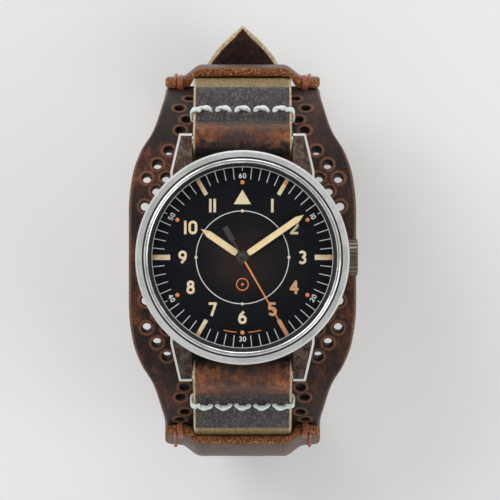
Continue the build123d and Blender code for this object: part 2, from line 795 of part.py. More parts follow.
def mainplate():
    """The mainplate with its recesses, pivots and the block that carries the stem."""
    axis_z = head + stem_height
    plate = disc(plate_radius, plate_bottom, plate_top)
    outer_block = block(winding_start + winding_length + 2 * run_gap, plate_radius - jewel_radius,
                        -winding_radius, winding_radius, head + barrel_bridge_top + seat_gap,
                        head + plate_top)
    inner_block = block(sliding_start - 3 * clutch_travel / 2 - jewel_radius,
                        sliding_start - 3 * clutch_travel / 2, -jewel_radius, jewel_radius,
                        axis_z - jewel_radius, head + plate_bottom + seat_gap)
    plate += outer_block
    plate += inner_block
    barrel_reach = barrel_teeth * barrel_module / 2 + barrel_module + soft_gap
    plate -= disc(barrel_reach, plate_bottom - overrun, barrel_roof + run_gap, barrel_place)
    cover = plate_top + overrun
    plate -= disc(hour_wheel_teeth * motion_module / 2 + 2 * motion_module, motion_recess, cover)
    plate -= disc(minute_wheel_teeth * motion_module / 2 + 2 * motion_module, motion_recess, cover,
                  minute_wheel_place)
    plate -= disc(setting_teeth * motion_module / 2 + 2 * motion_module, motion_recess, cover, setting_place)
    low = head + keyless_low - run_gap
    pocket_reach = lever_post_radius + soft_gap
    plate -= block(yoke_pivot[0] - 2 * lever_post_radius, lever_pivot[0] + 2 * lever_post_radius,
                   yoke_pivot[1] - pocket_reach, lever_pivot[1] + pocket_reach, low, head + cover)
    plate -= block(sliding_start - clutch_travel - 2 * run_gap, winding_start + winding_length + 2 * run_gap,
                   -winding_radius - run_gap, winding_radius + run_gap, head, head + cover)
    slot = groove_pin_radius + 2 * run_gap
    plate -= block(groove_x - slot, groove_x + crown_travel + slot, -slot, slot + 0.25 * crown_travel,
                   axis_z, head + cover)
    plate -= rod_x(stem_radius + run_gap, groove_x - overrun, plate_radius + overrun, axis_z)
    plate -= rod_x(stem_pilot_radius + run_gap, 0, groove_x, axis_z)
    for place in (third_place, escape_place, balance_place):
        plate -= disc(jewel_radius + seat_gap / 2, plate_bottom - overrun, cover, place)
    plate -= disc(centre_tube_radius + run_gap, plate_bottom - overrun, cover)
    for place in (barrel_place, pallet_place):
        plate -= disc(arbor_radius * 2 + run_gap, plate_bottom - overrun, plate_top - pivot_radius, place)
    for place in [movement_pillar(angle) for angle in foot_angles] + pallet_feet + [cock_foot]:
        plate -= disc(screw_shank_radius + seat_gap, plate_bottom - overrun, plate_top - pivot_radius, place)
    for place in (minute_wheel_place, setting_place, lever_pivot, yoke_pivot):
        plate += disc(arbor_radius, plate_bottom, plate_top - pivot_radius, place)
    return plate


def foot_ring(first, last, low):
    """The part of a bridge that stands on the mainplate, between two directions."""
    angles = [first + (last - first) * share for share in (0, 0.5, 1)]
    outer = [polar(foot_ring_outer, angle) for angle in angles]
    inner = [polar(foot_ring_inner, angle) for angle in angles]
    outline = make_face([ThreePointArc(*outer), Line(outer[2], inner[2]), ThreePointArc(*inner[::-1]),
                         Line(inner[0], outer[0])])
    return Pos(0, 0, head + low) * extrude(outline, plate_bottom - seat_gap - low)


def screw_holes(solid, angles, low):
    """Holes for the bridge screws, through a bridge and its feet."""
    for angle in angles:
        solid -= disc(screw_shank_radius + seat_gap, low - overrun, plate_bottom + overrun,
                      movement_pillar(angle))
    return solid


def barrel_bridge():
    """The bridge that carries the barrel, the ratchet wheel and the crown wheel."""
    outline = Circle(foot_ring_outer) - Circle(centre_teeth * centre_module / 2 + 2 * jewel_radius)
    quarter = Rot(0, 0, (foot_angles[2] + 8.0) - 90) * Pos(foot_ring_outer, 0) * Rectangle(
        2 * foot_ring_outer, 4 * foot_ring_outer)
    outline = outline & quarter
    keep_up = Pos(0, foot_ring_outer - crown_wheel_radius) * Rectangle(4 * foot_ring_outer,
                                                                     2 * foot_ring_outer)
    outline = outline & keep_up
    height = barrel_bridge_top - barrel_bridge_bottom
    bridge = Pos(0, 0, head + barrel_bridge_bottom) * extrude(outline, height)
    bridge += foot_ring(foot_angles[0] - 12.0, foot_angles[2] + 7.0, barrel_bridge_bottom)
    for angle in foot_angles[:3]:
        bridge += disc(screw_head_radius, barrel_bridge_bottom, plate_bottom - seat_gap,
                       movement_pillar(angle))
    bridge -= disc(arbor_radius * 4 + run_gap, 0, plate_bottom, barrel_place)
    bridge -= disc(arbor_radius + seat_gap, 0, plate_bottom, click_place)
    rim = block(winding_x - crown_wheel_radius / 2, winding_x + winding_length, -winding_radius - run_gap,
                winding_radius + run_gap, head, head + plate_bottom)
    bridge -= rim
    rim_width = 2.2 * keyless_module
    bridge -= ring_cut(crown_wheel_radius + rim_width, crown_wheel_radius - 2 * rim_width, 0,
                       crown_wheel_rim_top + run_gap, crown_wheel_place)
    barrel_room = barrel_teeth * barrel_module / 2 + barrel_module + soft_gap
    bridge -= disc(barrel_room, barrel_bridge_top, plate_bottom + overrun, barrel_place)
    return screw_holes(bridge, foot_angles[:3], barrel_bridge_bottom)


def ring_cut(outer, inner, low, high, place):
    """A ring at a place in plan, to be cut away."""
    return disc(outer, low, high, place) - disc(inner, low - overrun, high + overrun, place)


def train_bridge():
    """The bridge over the centre, third, fourth and escape wheels."""
    room = soft_gap + 2 * keyless_module
    outline = Circle(foot_ring_outer)
    outline = outline - Pos(*barrel_place) * Circle(ratchet_radius + room)
    outline = outline - Pos(*crown_wheel_place) * Circle(crown_wheel_radius + room)
    outline = outline - Pos(*balance_place) * Circle(balance_radius + soft_gap)
    outline = outline - Pos(*click_place) * Circle(click_room)
    left = Pos(escape_place[0] + 2 * jewel_radius - 2 * foot_ring_outer, 0) * Rectangle(
        4 * foot_ring_outer, 4 * foot_ring_outer)
    outline = outline & left
    outline = outline - Pos(*cock_foot) * Circle(6 * jewel_radius)
    outline = outline - hull_outline([cock_foot, balance_place], [2 * jewel_radius + soft_gap] * 2)
    outline = outline & (Rot(0, 0, foot_angles[3] - 6.0) * Pos(0, 2 * foot_ring_outer) * Rectangle(
        8 * foot_ring_outer, 4 * foot_ring_outer) + Circle(2 * jewel_radius))
    outline = outline.faces().sort_by(SortBy.AREA)[-1]
    bridge = Pos(0, 0, head + bridge_bottom) * extrude(outline, bridge_thickness)
    bridge += foot_ring(foot_angles[3] - 5.0, foot_angles[4] + 5.0, bridge_bottom)
    for angle in foot_angles[3:]:
        bridge += disc(screw_head_radius, bridge_bottom, plate_bottom - seat_gap, movement_pillar(angle))
    for place in ((0, 0), third_place, escape_place):
        bridge -= disc(jewel_radius + seat_gap / 2, 0, plate_bottom, place)
    return screw_holes(bridge, foot_angles[3:], bridge_bottom)


def balance_cock():
    """The cock over the balance, on one foot."""
    cock = hull_bar([cock_foot, balance_place], [2 * jewel_radius, 2 * jewel_radius], bridge_bottom,
                    bridge_top)
    cock += disc(2 * jewel_radius, bridge_bottom, plate_bottom - seat_gap, cock_foot)
    cock -= disc(jewel_radius + seat_gap / 2, 0, plate_bottom, balance_place)
    return cock - disc(screw_shank_radius + seat_gap, 0, plate_bottom + overrun, cock_foot)


def pallet_bridge():
    """The small bridge over the pallet fork, on two feet."""
    bar_radius_here = 1.3 * jewel_radius
    bridge = hull_bar(pallet_feet, [bar_radius_here] * 2, pallet_bridge_bottom, pallet_bridge_top)
    for place in pallet_feet:
        bridge += disc(bar_radius_here, pallet_bridge_bottom, plate_bottom - seat_gap, place)
        bridge -= disc(screw_shank_radius + seat_gap, 0, plate_bottom + overrun, place)
    return bridge - disc(pivot_radius + run_gap, 0, plate_bottom, pallet_place)


def movement_screws():
    """The screws of the bridges, each a flat slotted head on a shank."""
    screws = []
    seats = [(movement_pillar(angle), barrel_bridge_bottom) for angle in foot_angles[:3]]
    seats += [(movement_pillar(angle), bridge_bottom) for angle in foot_angles[3:]]
    seats += [(place, pallet_bridge_bottom) for place in pallet_feet]
    seats.append((cock_foot, bridge_bottom))
    for place, low in seats:
        top = low - run_gap
        screw = disc(screw_head_radius, top - screw_head_height, top, place)
        screw += disc(screw_shank_radius, top - screw_head_height / 2, plate_bottom + screw_head_height * 2,
                      place)
        slot_width = screw_shank_radius / 2
        screw -= block(place[0] - overrun, place[0] + overrun, place[1] - slot_width / 2,
                       place[1] + slot_width / 2, head + top - screw_head_height - overrun,
                       head + top - screw_head_height * 0.6)
        screws.append(screw)
    return Compound(children=screws)


def jewels():
    """The jewels of the train, set in the plate and the bridges."""
    stones = []
    for place in (third_place, escape_place, balance_place):
        stones.append((place, plate_bottom, pivot_radius))
        stones.append((place, bridge_bottom, pivot_radius))
    stones.append(((0, 0), bridge_bottom, pivot_radius))
    rings = []
    for place, low, bore in stones:
        stone = disc(jewel_radius, low, low + bridge_thickness, place)
        rings.append(stone - disc(bore + run_gap, low - overrun, low + overrun, place))
    return Compound(children=rings)


def barrel():
    """The toothed mainspring drum with its lid."""
    reach = barrel_teeth * barrel_module / 2
    teeth_low = barrel_roof - 2.5 * screw_head_height
    rim = gear(barrel_teeth, barrel_module, barrel_roof - teeth_low, 0, teeth_low, barrel_place,
               barrel_angle + 180)
    drum = rim + disc(reach - 2 * barrel_module, barrel_floor, barrel_roof, barrel_place)
    drum -= disc(reach - 2 * barrel_module - barrel_wall, barrel_floor + wheel_thickness,
                 barrel_roof - wheel_thickness, barrel_place)
    return drum - disc(barrel_arbor_radius + run_gap, 0, plate_top, barrel_place)


def mainspring():
    """The coiled mainspring between the arbor's hub and the drum."""
    room = barrel_teeth * barrel_module / 2 - 2 * barrel_module - barrel_wall - run_gap
    pitch = (room - hub_radius - 2 * wheel_thickness) / (mainspring_turns + 0.5)
    return spiral_strip(hub_radius + run_gap, pitch, 2 * mainspring_turns, wheel_thickness,
                        barrel_floor + wheel_thickness + run_gap, barrel_roof - wheel_thickness - run_gap,
                        barrel_place)


def ratchet_wheel():
    """The ratchet wheel on the barrel's arbor."""
    wheel = gear(ratchet_teeth, keyless_module, ratchet_thickness, 0, ratchet_bottom, barrel_place,
                 ratchet_phase)
    wheel += disc(barrel_arbor_radius, ratchet_bottom, barrel_roof + run_gap, barrel_place)
    wheel += disc(hub_radius, barrel_floor + wheel_thickness + run_gap,
                  barrel_roof - wheel_thickness - run_gap, barrel_place)
    return wheel + disc(2 * arbor_radius, barrel_roof, plate_top - 2 * pivot_radius, barrel_place)


line_of_keyless = degrees(atan2(-barrel_place[1], crown_wheel_x - barrel_place[0]))
ratchet_phase = line_of_keyless
crown_wheel_phase = line_of_keyless + 180 + 180 / crown_wheel_teeth


def crown_wheel():
    """The crown wheel, with a raised toothed rim that meets the winding pinion."""
    wheel = gear(crown_wheel_teeth, keyless_module, ratchet_thickness, 3 * arbor_radius, ratchet_bottom,
                 crown_wheel_place, crown_wheel_phase)
    root = crown_wheel_radius - 1.2 * keyless_module
    top = ratchet_bottom + ratchet_thickness
    rim = ring_cut(root, root - 2 * keyless_module, top - seat_gap, crown_wheel_rim_top, crown_wheel_place)
    return wheel + rim


def click():
    """The click that stops the ratchet wheel from turning back."""
    away = degrees(atan2(click_place[1] - barrel_place[1], click_place[0] - barrel_place[0]))
    nose = polar(ratchet_radius + 1.6 * keyless_module, away - click_lean, barrel_place)
    arm = hull_bar([click_place, nose], [jewel_radius * 1.2, arbor_radius], ratchet_bottom,
                   ratchet_bottom + ratchet_thickness)
    return arm + disc(arbor_radius, ratchet_bottom, barrel_bridge_top - seat_gap, click_place)


def centre_wheel():
    """The centre wheel, its pinion and the hollow arbor that the cannon pinion sits on."""
    wheel = gear(centre_teeth, centre_module, wheel_thickness, 0, centre_height)
    wheel -= spokes(centre_teeth * centre_module / 2 - 4 * centre_module, 3 * centre_tube_radius, 4,
                    2 * centre_tube_radius, centre_height - overrun, 2 * overrun)
    pinion_low = barrel_roof - 2.8 * screw_head_height
    wheel += gear(centre_pinion_teeth, barrel_module, plate_bottom - run_gap - pinion_low, 0, pinion_low,
                  (0, 0), barrel_angle + 180 / centre_pinion_teeth)
    wheel += disc(centre_tube_radius, centre_height - wheel_thickness / 2,
                  seconds_height - 2 * hand_thickness)
    return wheel - disc(centre_bore, 0, seconds_height + overrun)


def third_wheel():
    """The third wheel and its pinion."""
    wheel = gear(third_teeth, third_module, wheel_thickness, 0, third_height, third_place,
                 third_angle + 180)
    wheel -= spokes(third_teeth * third_module / 2 - 4 * third_module, 5 * arbor_radius, 4,
                    3 * arbor_radius, third_height - overrun, 2 * overrun, third_place)
    wheel += gear(third_pinion_teeth, centre_module, 3 * wheel_thickness, 0,
                  third_height + 1.5 * wheel_thickness, third_place,
                  third_angle + 180 + 180 / third_pinion_teeth)
    wheel += disc(arbor_radius, bridge_top + seat_gap, plate_bottom - seat_gap, third_place)
    return wheel + disc(pivot_radius, bridge_bottom + seat_gap, plate_bottom + screw_head_height,
                        third_place)


def fourth_wheel():
    """The fourth wheel, whose long arbor carries the seconds hand."""
    wheel = gear(fourth_teeth, fourth_module, wheel_thickness, 0, fourth_height)
    wheel -= spokes(fourth_teeth * fourth_module / 2 - 4 * fourth_module, 5 * arbor_radius, 4,
                    3 * arbor_radius, fourth_height - overrun, 2 * overrun)
    wheel += gear(fourth_pinion_teeth, third_module, 2 * wheel_thickness, 0,
                  fourth_height + wheel_thickness, (0, 0), third_angle + 180 / fourth_pinion_teeth)
    wheel += disc(fourth_arbor_radius, bridge_top + seat_gap, seconds_height + hand_thickness)
    return wheel + disc(pivot_radius, bridge_bottom + seat_gap, fourth_height)


def escape_wheel():
    """The escape wheel with hooked teeth, and its pinion."""
    rim = escape_radius * 0.78
    outline = Circle(rim)
    for tooth in range(escape_teeth):
        start = 360 * tooth / escape_teeth
        corners = [polar(rim * 0.96, start), polar(escape_radius, start + 9.0),
                   polar(escape_radius, start + 12.0), polar(rim * 0.96, start + 13.0)]
        outline += make_face(Polyline(*corners, close=True))
    outline -= Circle(rim * 0.8) - Circle(rim * 0.34) - Rectangle(2 * rim, rim * 0.16) - Rectangle(
        rim * 0.16, 2 * rim)
    wheel = Pos(*escape_place, head + escape_height) * extrude(outline, wheel_thickness)
    wheel += gear(escape_pinion_teeth, fourth_module, 2 * wheel_thickness, 0,
                  fourth_height - wheel_thickness / 2 + seat_gap, escape_place,
                  escape_angle + 180 + 180 / escape_pinion_teeth)
    wheel += disc(arbor_radius, bridge_top + seat_gap, plate_bottom - seat_gap, escape_place)
    return wheel + disc(pivot_radius, bridge_bottom + seat_gap, plate_bottom + screw_head_height,
                        escape_place)


def pallet_fork():
    """The pallet fork: two arms toward the escape wheel and a forked lever toward the balance."""
    arm_places = [polar(escape_radius * 0.95, pallet_heading + 180 + turn, pallet_place)
                  for turn in (-58.0, 58.0)]
    low, high = escape_height, escape_height + wheel_thickness
    reach = escape_to_balance - 1.25 * escape_radius - 0.32 * escape_radius
    tail_end = polar(reach, pallet_heading, pallet_place)
    fork = hull_bar([pallet_place, tail_end], [fork_hub, fork_waist], low, high)
    for place in arm_places:
        fork += hull_bar([pallet_place, place], [pallet_arm, pallet_nib], low, high)
    for side in (-1, 1):
        horn = polar(fork_gap, pallet_heading + side * 90, tail_end)
        tip = polar(fork_horn_length, pallet_heading, horn)
        fork += hull_bar([tail_end, horn, tip], [fork_horn, fork_horn, fork_horn_tip], low, high)
    return fork + disc(pivot_radius, pallet_bridge_bottom, plate_bottom + screw_head_height, pallet_place)


def balance_wheel():
    """The balance with its staff, roller and impulse pin."""
    rim = ring_cut(balance_radius, balance_radius * 0.88, balance_height,
                   balance_height + balance_rim_height, balance_place)
    spoke = Rot(0, 0, pallet_heading) * Rectangle(1.85 * balance_radius, balance_radius * 0.1)
    wheel = rim + Pos(*balance_place, head + balance_height) * extrude(spoke, balance_rim_height / 2)
    wheel += disc(2 * arbor_radius, balance_height, balance_height + 2 * balance_rim_height, balance_place)
    wheel += disc(arbor_radius, bridge_top + seat_gap, plate_bottom - seat_gap, balance_place)
    wheel += disc(pivot_radius, bridge_bottom + seat_gap, plate_bottom + screw_head_height, balance_place)
    roller_low = escape_height + 2 * wheel_thickness
    wheel += disc(0.3 * escape_radius, roller_low, roller_low + wheel_thickness, balance_place)
    pin_place = polar(0.22 * escape_radius, pallet_heading + 180, balance_place)
    return wheel + disc(impulse_pin_radius, escape_height, roller_low + seat_gap, pin_place)


def hairspring():
    """The flat hairspring between the balance and its cock."""
    return spiral_strip(2 * arbor_radius + run_gap, hairspring_pitch, hairspring_half_turns,
                        hairspring_strip, hairspring_height, hairspring_height + hairspring_depth,
                        balance_place)


def winding_pinion():
    """The winding pinion, loose on the stem."""
    axis_z = head + stem_height
    return side_gear(winding_radius, keyless_pinion_teeth, winding_start, winding_length, axis_z,
                     stem_radius + run_gap)


def side_gear(radius, teeth, start, length, z, bore):
    """A toothed barrel about the X axis."""
    corners = []
    step = 2 * pi / teeth
    for tooth in range(teeth):
        middle = tooth * step + step / 2
        for share, reach in ((-0.28, 0.8), (-0.14, 1.0), (0.14, 1.0), (0.28, 0.8)):
            corners.append((radius * reach * cos(middle + share * step),
                            radius * reach * sin(middle + share * step)))
    outline = make_face(Polyline(*corners, close=True)) - Circle(bore)
    return Pos(start, 0, z) * Rot(0, 90, 0) * extrude(outline, length)


def sliding_pinion():
    """The sliding pinion on the stem's square, with the groove for the yoke."""
    axis_z = head + stem_height
    pinion = side_gear(sliding_radius, keyless_pinion_teeth, sliding_start, sliding_length, axis_z,
                       stem_pilot_radius)
    half = yoke_pin_radius + 2 * run_gap
    groove = rod_x(sliding_radius + overrun, yoke_groove_x - half, yoke_groove_x + half, axis_z)
    groove -= rod_x(sliding_groove_share * sliding_radius, yoke_groove_x - overrun,
                    yoke_groove_x + overrun, axis_z)
    square = stem_square + 2 * run_gap
    hole = Pos(sliding_start + sliding_length / 2, 0, axis_z) * Box(2 * sliding_length, square, square)
    return pinion - groove - hole


def stem():
    """The winding stem: pilot, square, bearing with its groove, and the thread for the crown."""
    axis_z = head + stem_height
    pilot_end = sliding_start - 2 * clutch_travel - jewel_radius
    rod = rod_x(stem_pilot_radius, pilot_end, sliding_start, axis_z)
    square_start = sliding_start - clutch_travel
    square = Pos((square_start + winding_start) / 2, 0, axis_z) * Box(winding_start - square_start,
                                                                    stem_square, stem_square)
    rod += square
    rod += rod_x(stem_radius, winding_start, tube_outer_x - seat_gap, axis_z)
    half = groove_width / 2
    groove = rod_x(stem_radius + overrun, groove_x - half, groove_x + half, axis_z)
    groove -= rod_x(stem_groove_radius, groove_x - overrun, groove_x + overrun, axis_z)
    return rod - groove


def lever_plate(pivot, pin_place, pin_radius, pin_low):
    """A flat lever on a post of the mainplate, with a pin that reaches down into a groove."""
    low = keyless_low
    lever = hull_bar([pivot, pin_place], [lever_post_radius, pin_radius + 2 * run_gap], low,
                     low + keyless_plate)
    lever += disc(pin_radius, pin_low, low + keyless_plate, pin_place)
    return lever - disc(arbor_radius + run_gap, 0, plate_top + overrun, pivot)


def setting_lever():
    """The setting lever, whose pin holds the stem by its groove."""
    return lever_plate(lever_pivot, (groove_x, 0), groove_pin_radius,
                       stem_height + stem_groove_radius + 2 * run_gap)


def yoke():
    """The yoke, whose pin moves the sliding pinion by its groove."""
    return lever_plate(yoke_pivot, (yoke_groove_x, 0), yoke_pin_radius,
                       stem_height + sliding_groove_share * sliding_radius + 2 * run_gap)


def cannon_pinion():
    """The cannon pinion on the centre arbor, under the minute hand."""
    pinion = gear(cannon_teeth, motion_module, motion_high - motion_low, 0, motion_low - seat_gap)
    pinion += disc(cannon_tube_radius, motion_low - seat_gap, minute_height + hand_thickness)
    return pinion - disc(centre_tube_radius + seat_gap, 0, seconds_height + overrun)


def minute_wheel():
    """The minute wheel and its pinion, on a post of the mainplate."""
    wheel = gear(minute_wheel_teeth, motion_module, wheel_thickness, 0, motion_low, minute_wheel_place,
                 180 + 180 / minute_wheel_teeth)
    wheel += gear(minute_pinion_teeth, motion_module, motion_high + wheel_thickness - motion_low, 0,
                  motion_low, minute_wheel_place, 180)
    return wheel - disc(arbor_radius + run_gap, 0, plate_top + overrun, minute_wheel_place)


def setting_wheel():
    """The setting wheel between the sliding pinion and the minute wheel."""
    return gear(setting_teeth, motion_module, wheel_thickness, arbor_radius + run_gap, motion_low,
                setting_place, 180 + 180 / setting_teeth)


def hour_wheel():
    """The hour wheel, whose tube carries the hour hand."""
    wheel = gear(hour_wheel_teeth, motion_module, wheel_thickness, 0, motion_high, (0, 0),
                 180 / hour_wheel_teeth)
    wheel += disc(hour_tube_radius, motion_high, hour_height + hand_thickness)
    return wheel - disc(cannon_tube_radius + run_gap, 0, seconds_height + overrun)


# Dial and hands


def dial():
    """The dial plate."""
    return ring(dial_radius, dial_hole, dial_bottom, dial_top)


def hand(angle, low, outline, bore, boss):
    """A hand from its outline, which points to 12 o'clock, turned clockwise by its angle."""
    flat = outline + Circle(boss) - Circle(bore)
    return Pos(0, 0, head + low) * Rot(0, 0, -angle) * extrude(flat, hand_thickness)


def pencil(length, width):
    """The outline of a pencil hand with a pointed end."""
    half, neck = width / 2, 1.6 * hand_boss_radius
    shoulder = length - 1.3 * width
    return make_face(Polyline((-0.55 * half, 0), (-half, neck), (-half, shoulder), (0, length),
                              (half, shoulder), (half, neck), (0.55 * half, 0), close=True))


def hour_hand():
    """The hour hand, pressed on the hour wheel's tube."""
    return hand(hour_angle, hour_height, pencil(hour_length, hour_width), hour_tube_radius + seat_gap,
                hand_boss_radius)


def minute_hand():
    """The minute hand, pressed on the cannon pinion."""
    return hand(minute_angle, minute_height, pencil(minute_length, minute_width),
                cannon_tube_radius + seat_gap, hand_boss_radius)


def seconds_hand():
    """The thin seconds hand with its paddle-shaped counterweight."""
    half = seconds_width / 2
    outline = make_face(Polyline((-half, -seconds_tail), (-half, 0), (-half / 2, seconds_length),
                                 (half / 2, seconds_length), (half, 0), (half, -seconds_tail), close=True))
    paddle = seconds_tail * 0.45
    outline += Pos(0, -seconds_tail + paddle / 2) * Rectangle(3 * seconds_width, paddle)
    return hand(seconds_angle, seconds_height, outline, fourth_arbor_radius + seat_gap,
                hand_boss_radius * 0.8)


# Leather and buckle


def pad_prism():
    """The upright prism of the pad's plan outline."""
    taper = pad_half_width - pad_end_half_width
    corners = [(pad_end_half_width + share_x * taper, share_y * pad_half_width)
               for share_y, share_x in pad_outline_shares]
    end_y = 2 * pad_half_width
    half = pad_end_half_width
    quarter = [Line((pad_half_width, 0), corners[0]), Spline(*corners, tangents=[(0, 1), (0, 1)]),
               Line(corners[-1], (corners[-1][0], end_y)), Line((corners[-1][0], end_y), (0, end_y)),
               Line((0, end_y), (0, 0)), Line((0, 0), (pad_half_width, 0))]
    face = make_face(quarter)
    both = face + mirror(face, Plane.YZ)
    whole = both + mirror(both, Plane.XZ)
    return extrude(whole, 2 * pad_top)


def leather_pad():
    """The wide cuff pad, bent round the wrist and punched with holes square to its face."""
    pad = band(pad_12, -pad_leather, 0, 1, 4 * pad_half_width)
    pad += band(pad_6, -pad_leather, 0, -1, 4 * pad_half_width)
    pad = pad & pad_prism()
    sides = ((1, pad_hole_shares_12, pad_curve_12), (-1, pad_hole_shares_6, pad_curve_6))
    for side, shares, curve in sides:
        for share_x, share_y in shares:
            y = share_y * pad_half_width
            lean = degrees(asin(max(0, y - pad_flat) / curve))
            z = pad_top - curve + curve * cos(radians(lean))
            for side_x in (-1, 1):
                drill = Pos(side_x * share_x * pad_half_width, side * y, z) * Rot(-side * lean, 0, 0)
                pad -= drill * Cylinder(pad_hole_radius, 3 * pad_leather)
    return pad


def bridge_section(radius):
    """The section of a bridge in the XZ plane, at a radius from the axis that it is turned about."""
    rest, under = seat_gap, leather + 2 * soft_gap + leather_gap
    top = under + bridge_leather
    inner_half = strap_width / 2 + 2 * soft_gap
    foot = inner_half + bridge_leather * 0.72
    end = pad_end_half_width - seat_gap
    right = [(0, top), (bridge_flat_half, top), (bridge_slope_half, bridge_leather + rest),
             (end, bridge_leather + rest), (end, rest), (foot, rest), (inner_half, under), (0, under)]
    left = [(-x, z) for x, z in right[-2:0:-1]]
    corners = [(x, 0, radius + z) for x, z in right + left]
    return face_of(Polyline(*corners, close=True).edges())


def bridge_loop(curve, turn, end_curve, side):
    """The leather strip sewn over a pad end, under which the strap runs."""
    piece = pad_walk(curve, turn, end_curve)[-1]
    y, z, heading = spot(piece, 0)
    centre_y, centre_z = y - end_curve * sin(radians(heading)), z - end_curve * cos(radians(heading))
    section = Rot(-side * heading, 0, 0) * bridge_section(end_curve)
    section = Pos(0, side * centre_y, centre_z) * section
    axis = Axis((0, side * centre_y, centre_z), (-side, 0, 0))
    return revolve(section, axis, degrees(bridge_strip / end_curve))


def bridge_thread(curve, turn, end_curve, side):
    """The stitches that hold a bridge's wings to the pad, in one row on each wing."""
    piece = pad_walk(curve, turn, end_curve)[-1]
    rods = []
    out = bridge_leather + 2 * seat_gap + bridge_thread_radius
    x = bridge_slope_half + bridge_thread_radius * 2
    for stitch in range(bridge_stitch_count):
        y, z, heading = spot(piece, (stitch + 0.5) / bridge_stitch_count, out)
        for side_x in (-1, 1):
            rod = Rot(-side * heading, 0, 0) * Rot(90, 0, 0) * Cylinder(bridge_thread_radius,
                                                                     bridge_stitch_length)
            rods.append(Pos(side_x * x, side * y, z) * rod)
    return rods


def strap_start(line, side):
    """The fold round the spring bar and the flap that is sewn down over the strap."""
    y, z, first = spot(line[0], 0)
    fold = rod_x(fold_out, -strap_width / 2, strap_width / 2, bar_z, side * bar_y)
    under = leather - leather_gap
    straight = line[0][3]
    flap_top = leather + flap_leather
    far = flap_join / straight
    wedge = [spot(line[0], 0, under)[:2], spot(line[0], far, under)[:2], spot(line[0], far, flap_top)[:2],
             (bar_y + fold_out * sin(radians(first + fold_lean)),
              bar_z + fold_out * cos(radians(first + fold_lean))),
             (bar_y, bar_z)]
    part = fold + side_plate([(side * py, pz) for py, pz in wedge], -strap_width / 2, strap_width / 2)
    flap_rest = flap_length - straight
    flap_arc = (line[1][0], line[1][1], line[1][2], flap_rest,
                line[1][4] * flap_rest / line[1][3])
    part += band([line[0], flap_arc], under, flap_top, side, strap_width)
    return part


def strap_bore(side):
    """The hole through the fold for the spring bar."""
    return rod_x(bar_hole, -strap_width, strap_width, bar_z, side * bar_y)


def buckle_strap():
    """The short strap at 12 o'clock, folded over the spring bar and over the buckle's bar."""
    strap = band(short_line, 0, leather, 1, strap_width)
    strap += strap_start(short_line, 1)
    half = strap_width / 2
    taper = buckle_flap_end + buckle_flap_taper
    flap = below([(buckle_bar_y, 0), (taper, 0), (taper, leather), (buckle_flap_end, buckle_fold_out),
                  (buckle_bar_y, buckle_fold_out)])
    strap += side_plate(flap, -half, half)
    bar_height_here = strap_bottom - buckle_bar_out
    strap += rod_x(buckle_bar_out, -half, half, bar_height_here, buckle_bar_y)
    strap -= rod_x(buckle_hole, -strap_width, strap_width, bar_height_here, buckle_bar_y)
    notch = tongue_width / 2 + soft_gap
    strap -= block(-notch, notch, buckle_bar_y - overrun, buckle_bar_y + 2 * buckle_bar_out,
                   strap_bottom - buckle_fold_out - overrun, strap_bottom + overrun)
    return strap - strap_bore(1)


def tip_cutter():
    """What is cut away beside the long strap's pointed tip, square to the tail's face."""
    y, z, heading = spot(long_line[-1], 1)
    direction = radians(180 - heading)
    frame = Plane(origin=(0, -y, z), x_dir=(1, 0, 0), z_dir=(0, sin(direction), cos(direction)))
    half = strap_width / 2
    waist = (tip_waist_share * half, -tip_waist_length_share * tip_length)
    edges = [ThreePointArc((0, 0), waist, (half, -tip_length)),
             ThreePointArc((0, 0), (-waist[0], waist[1]), (-half, -tip_length)),
             Line((half, -tip_length), (2 * half, -tip_length)),
             Line((2 * half, -tip_length), (2 * half, tip_length)),
             Line((2 * half, tip_length), (-2 * half, tip_length)),
             Line((-2 * half, tip_length), (-2 * half, -tip_length)),
             Line((-2 * half, -tip_length), (-half, -tip_length))]
    return frame * extrude(make_face(edges), 3 * leather, both=True)


def tip_strap():
    """The long strap at 6 o'clock, through the buckle and the keepers to its pointed tip."""
    strap = band(long_line, 0, leather, -1, strap_width)
    strap += strap_start(long_line, -1)
    strap -= tip_cutter()
    depth = strap_bottom - tail_lift + overrun
    used = extrude(SlotOverall(tongue_hole_length, tongue_hole_width, rotation=90), depth)
    strap -= Pos(0, tongue_middle, -overrun) * used
    for hole in range(1, tongue_hole_count):
        place_y = tongue_middle + hole * tongue_hole_pitch + tongue_hole_first / 4
        spare = extrude(Circle(tongue_hole_width / 2), depth)
        strap -= Pos(0, place_y, -overrun) * spare
    return strap - strap_bore(-1)


def strap_thread(line, side):
    """The stitches across the strap and the turns of thread round its edges."""
    piece = line[0]
    share = thread_distance / piece[3]
    out = leather + flap_leather + thread_radius + seat_gap
    y, z, heading = spot(piece, share, out)
    rods = []
    pitch = stitch_length + stitch_gap
    for stitch in range(stitch_count):
        x = (stitch - (stitch_count - 1) / 2) * pitch
        rods.append(rod_x(thread_radius, x - stitch_length / 2, x + stitch_length / 2, z, side * y))
    edge_x = strap_width / 2 + seat_gap + thread_radius
    inner = spot(piece, share, thread_radius)
    outer = spot(piece, share, leather + flap_leather - thread_radius)
    middle_y, middle_z = (inner[0] + outer[0]) / 2, (inner[1] + outer[1]) / 2
    length = hypot(outer[0] - inner[0], outer[1] - inner[1])
    for side_x in (-1, 1):
        loop = Rot(-side * heading, 0, 0) * Cylinder(thread_radius, length)
        rods.append(Pos(side_x * edge_x, side * middle_y, middle_z) * loop)
    return Compound(children=rods)


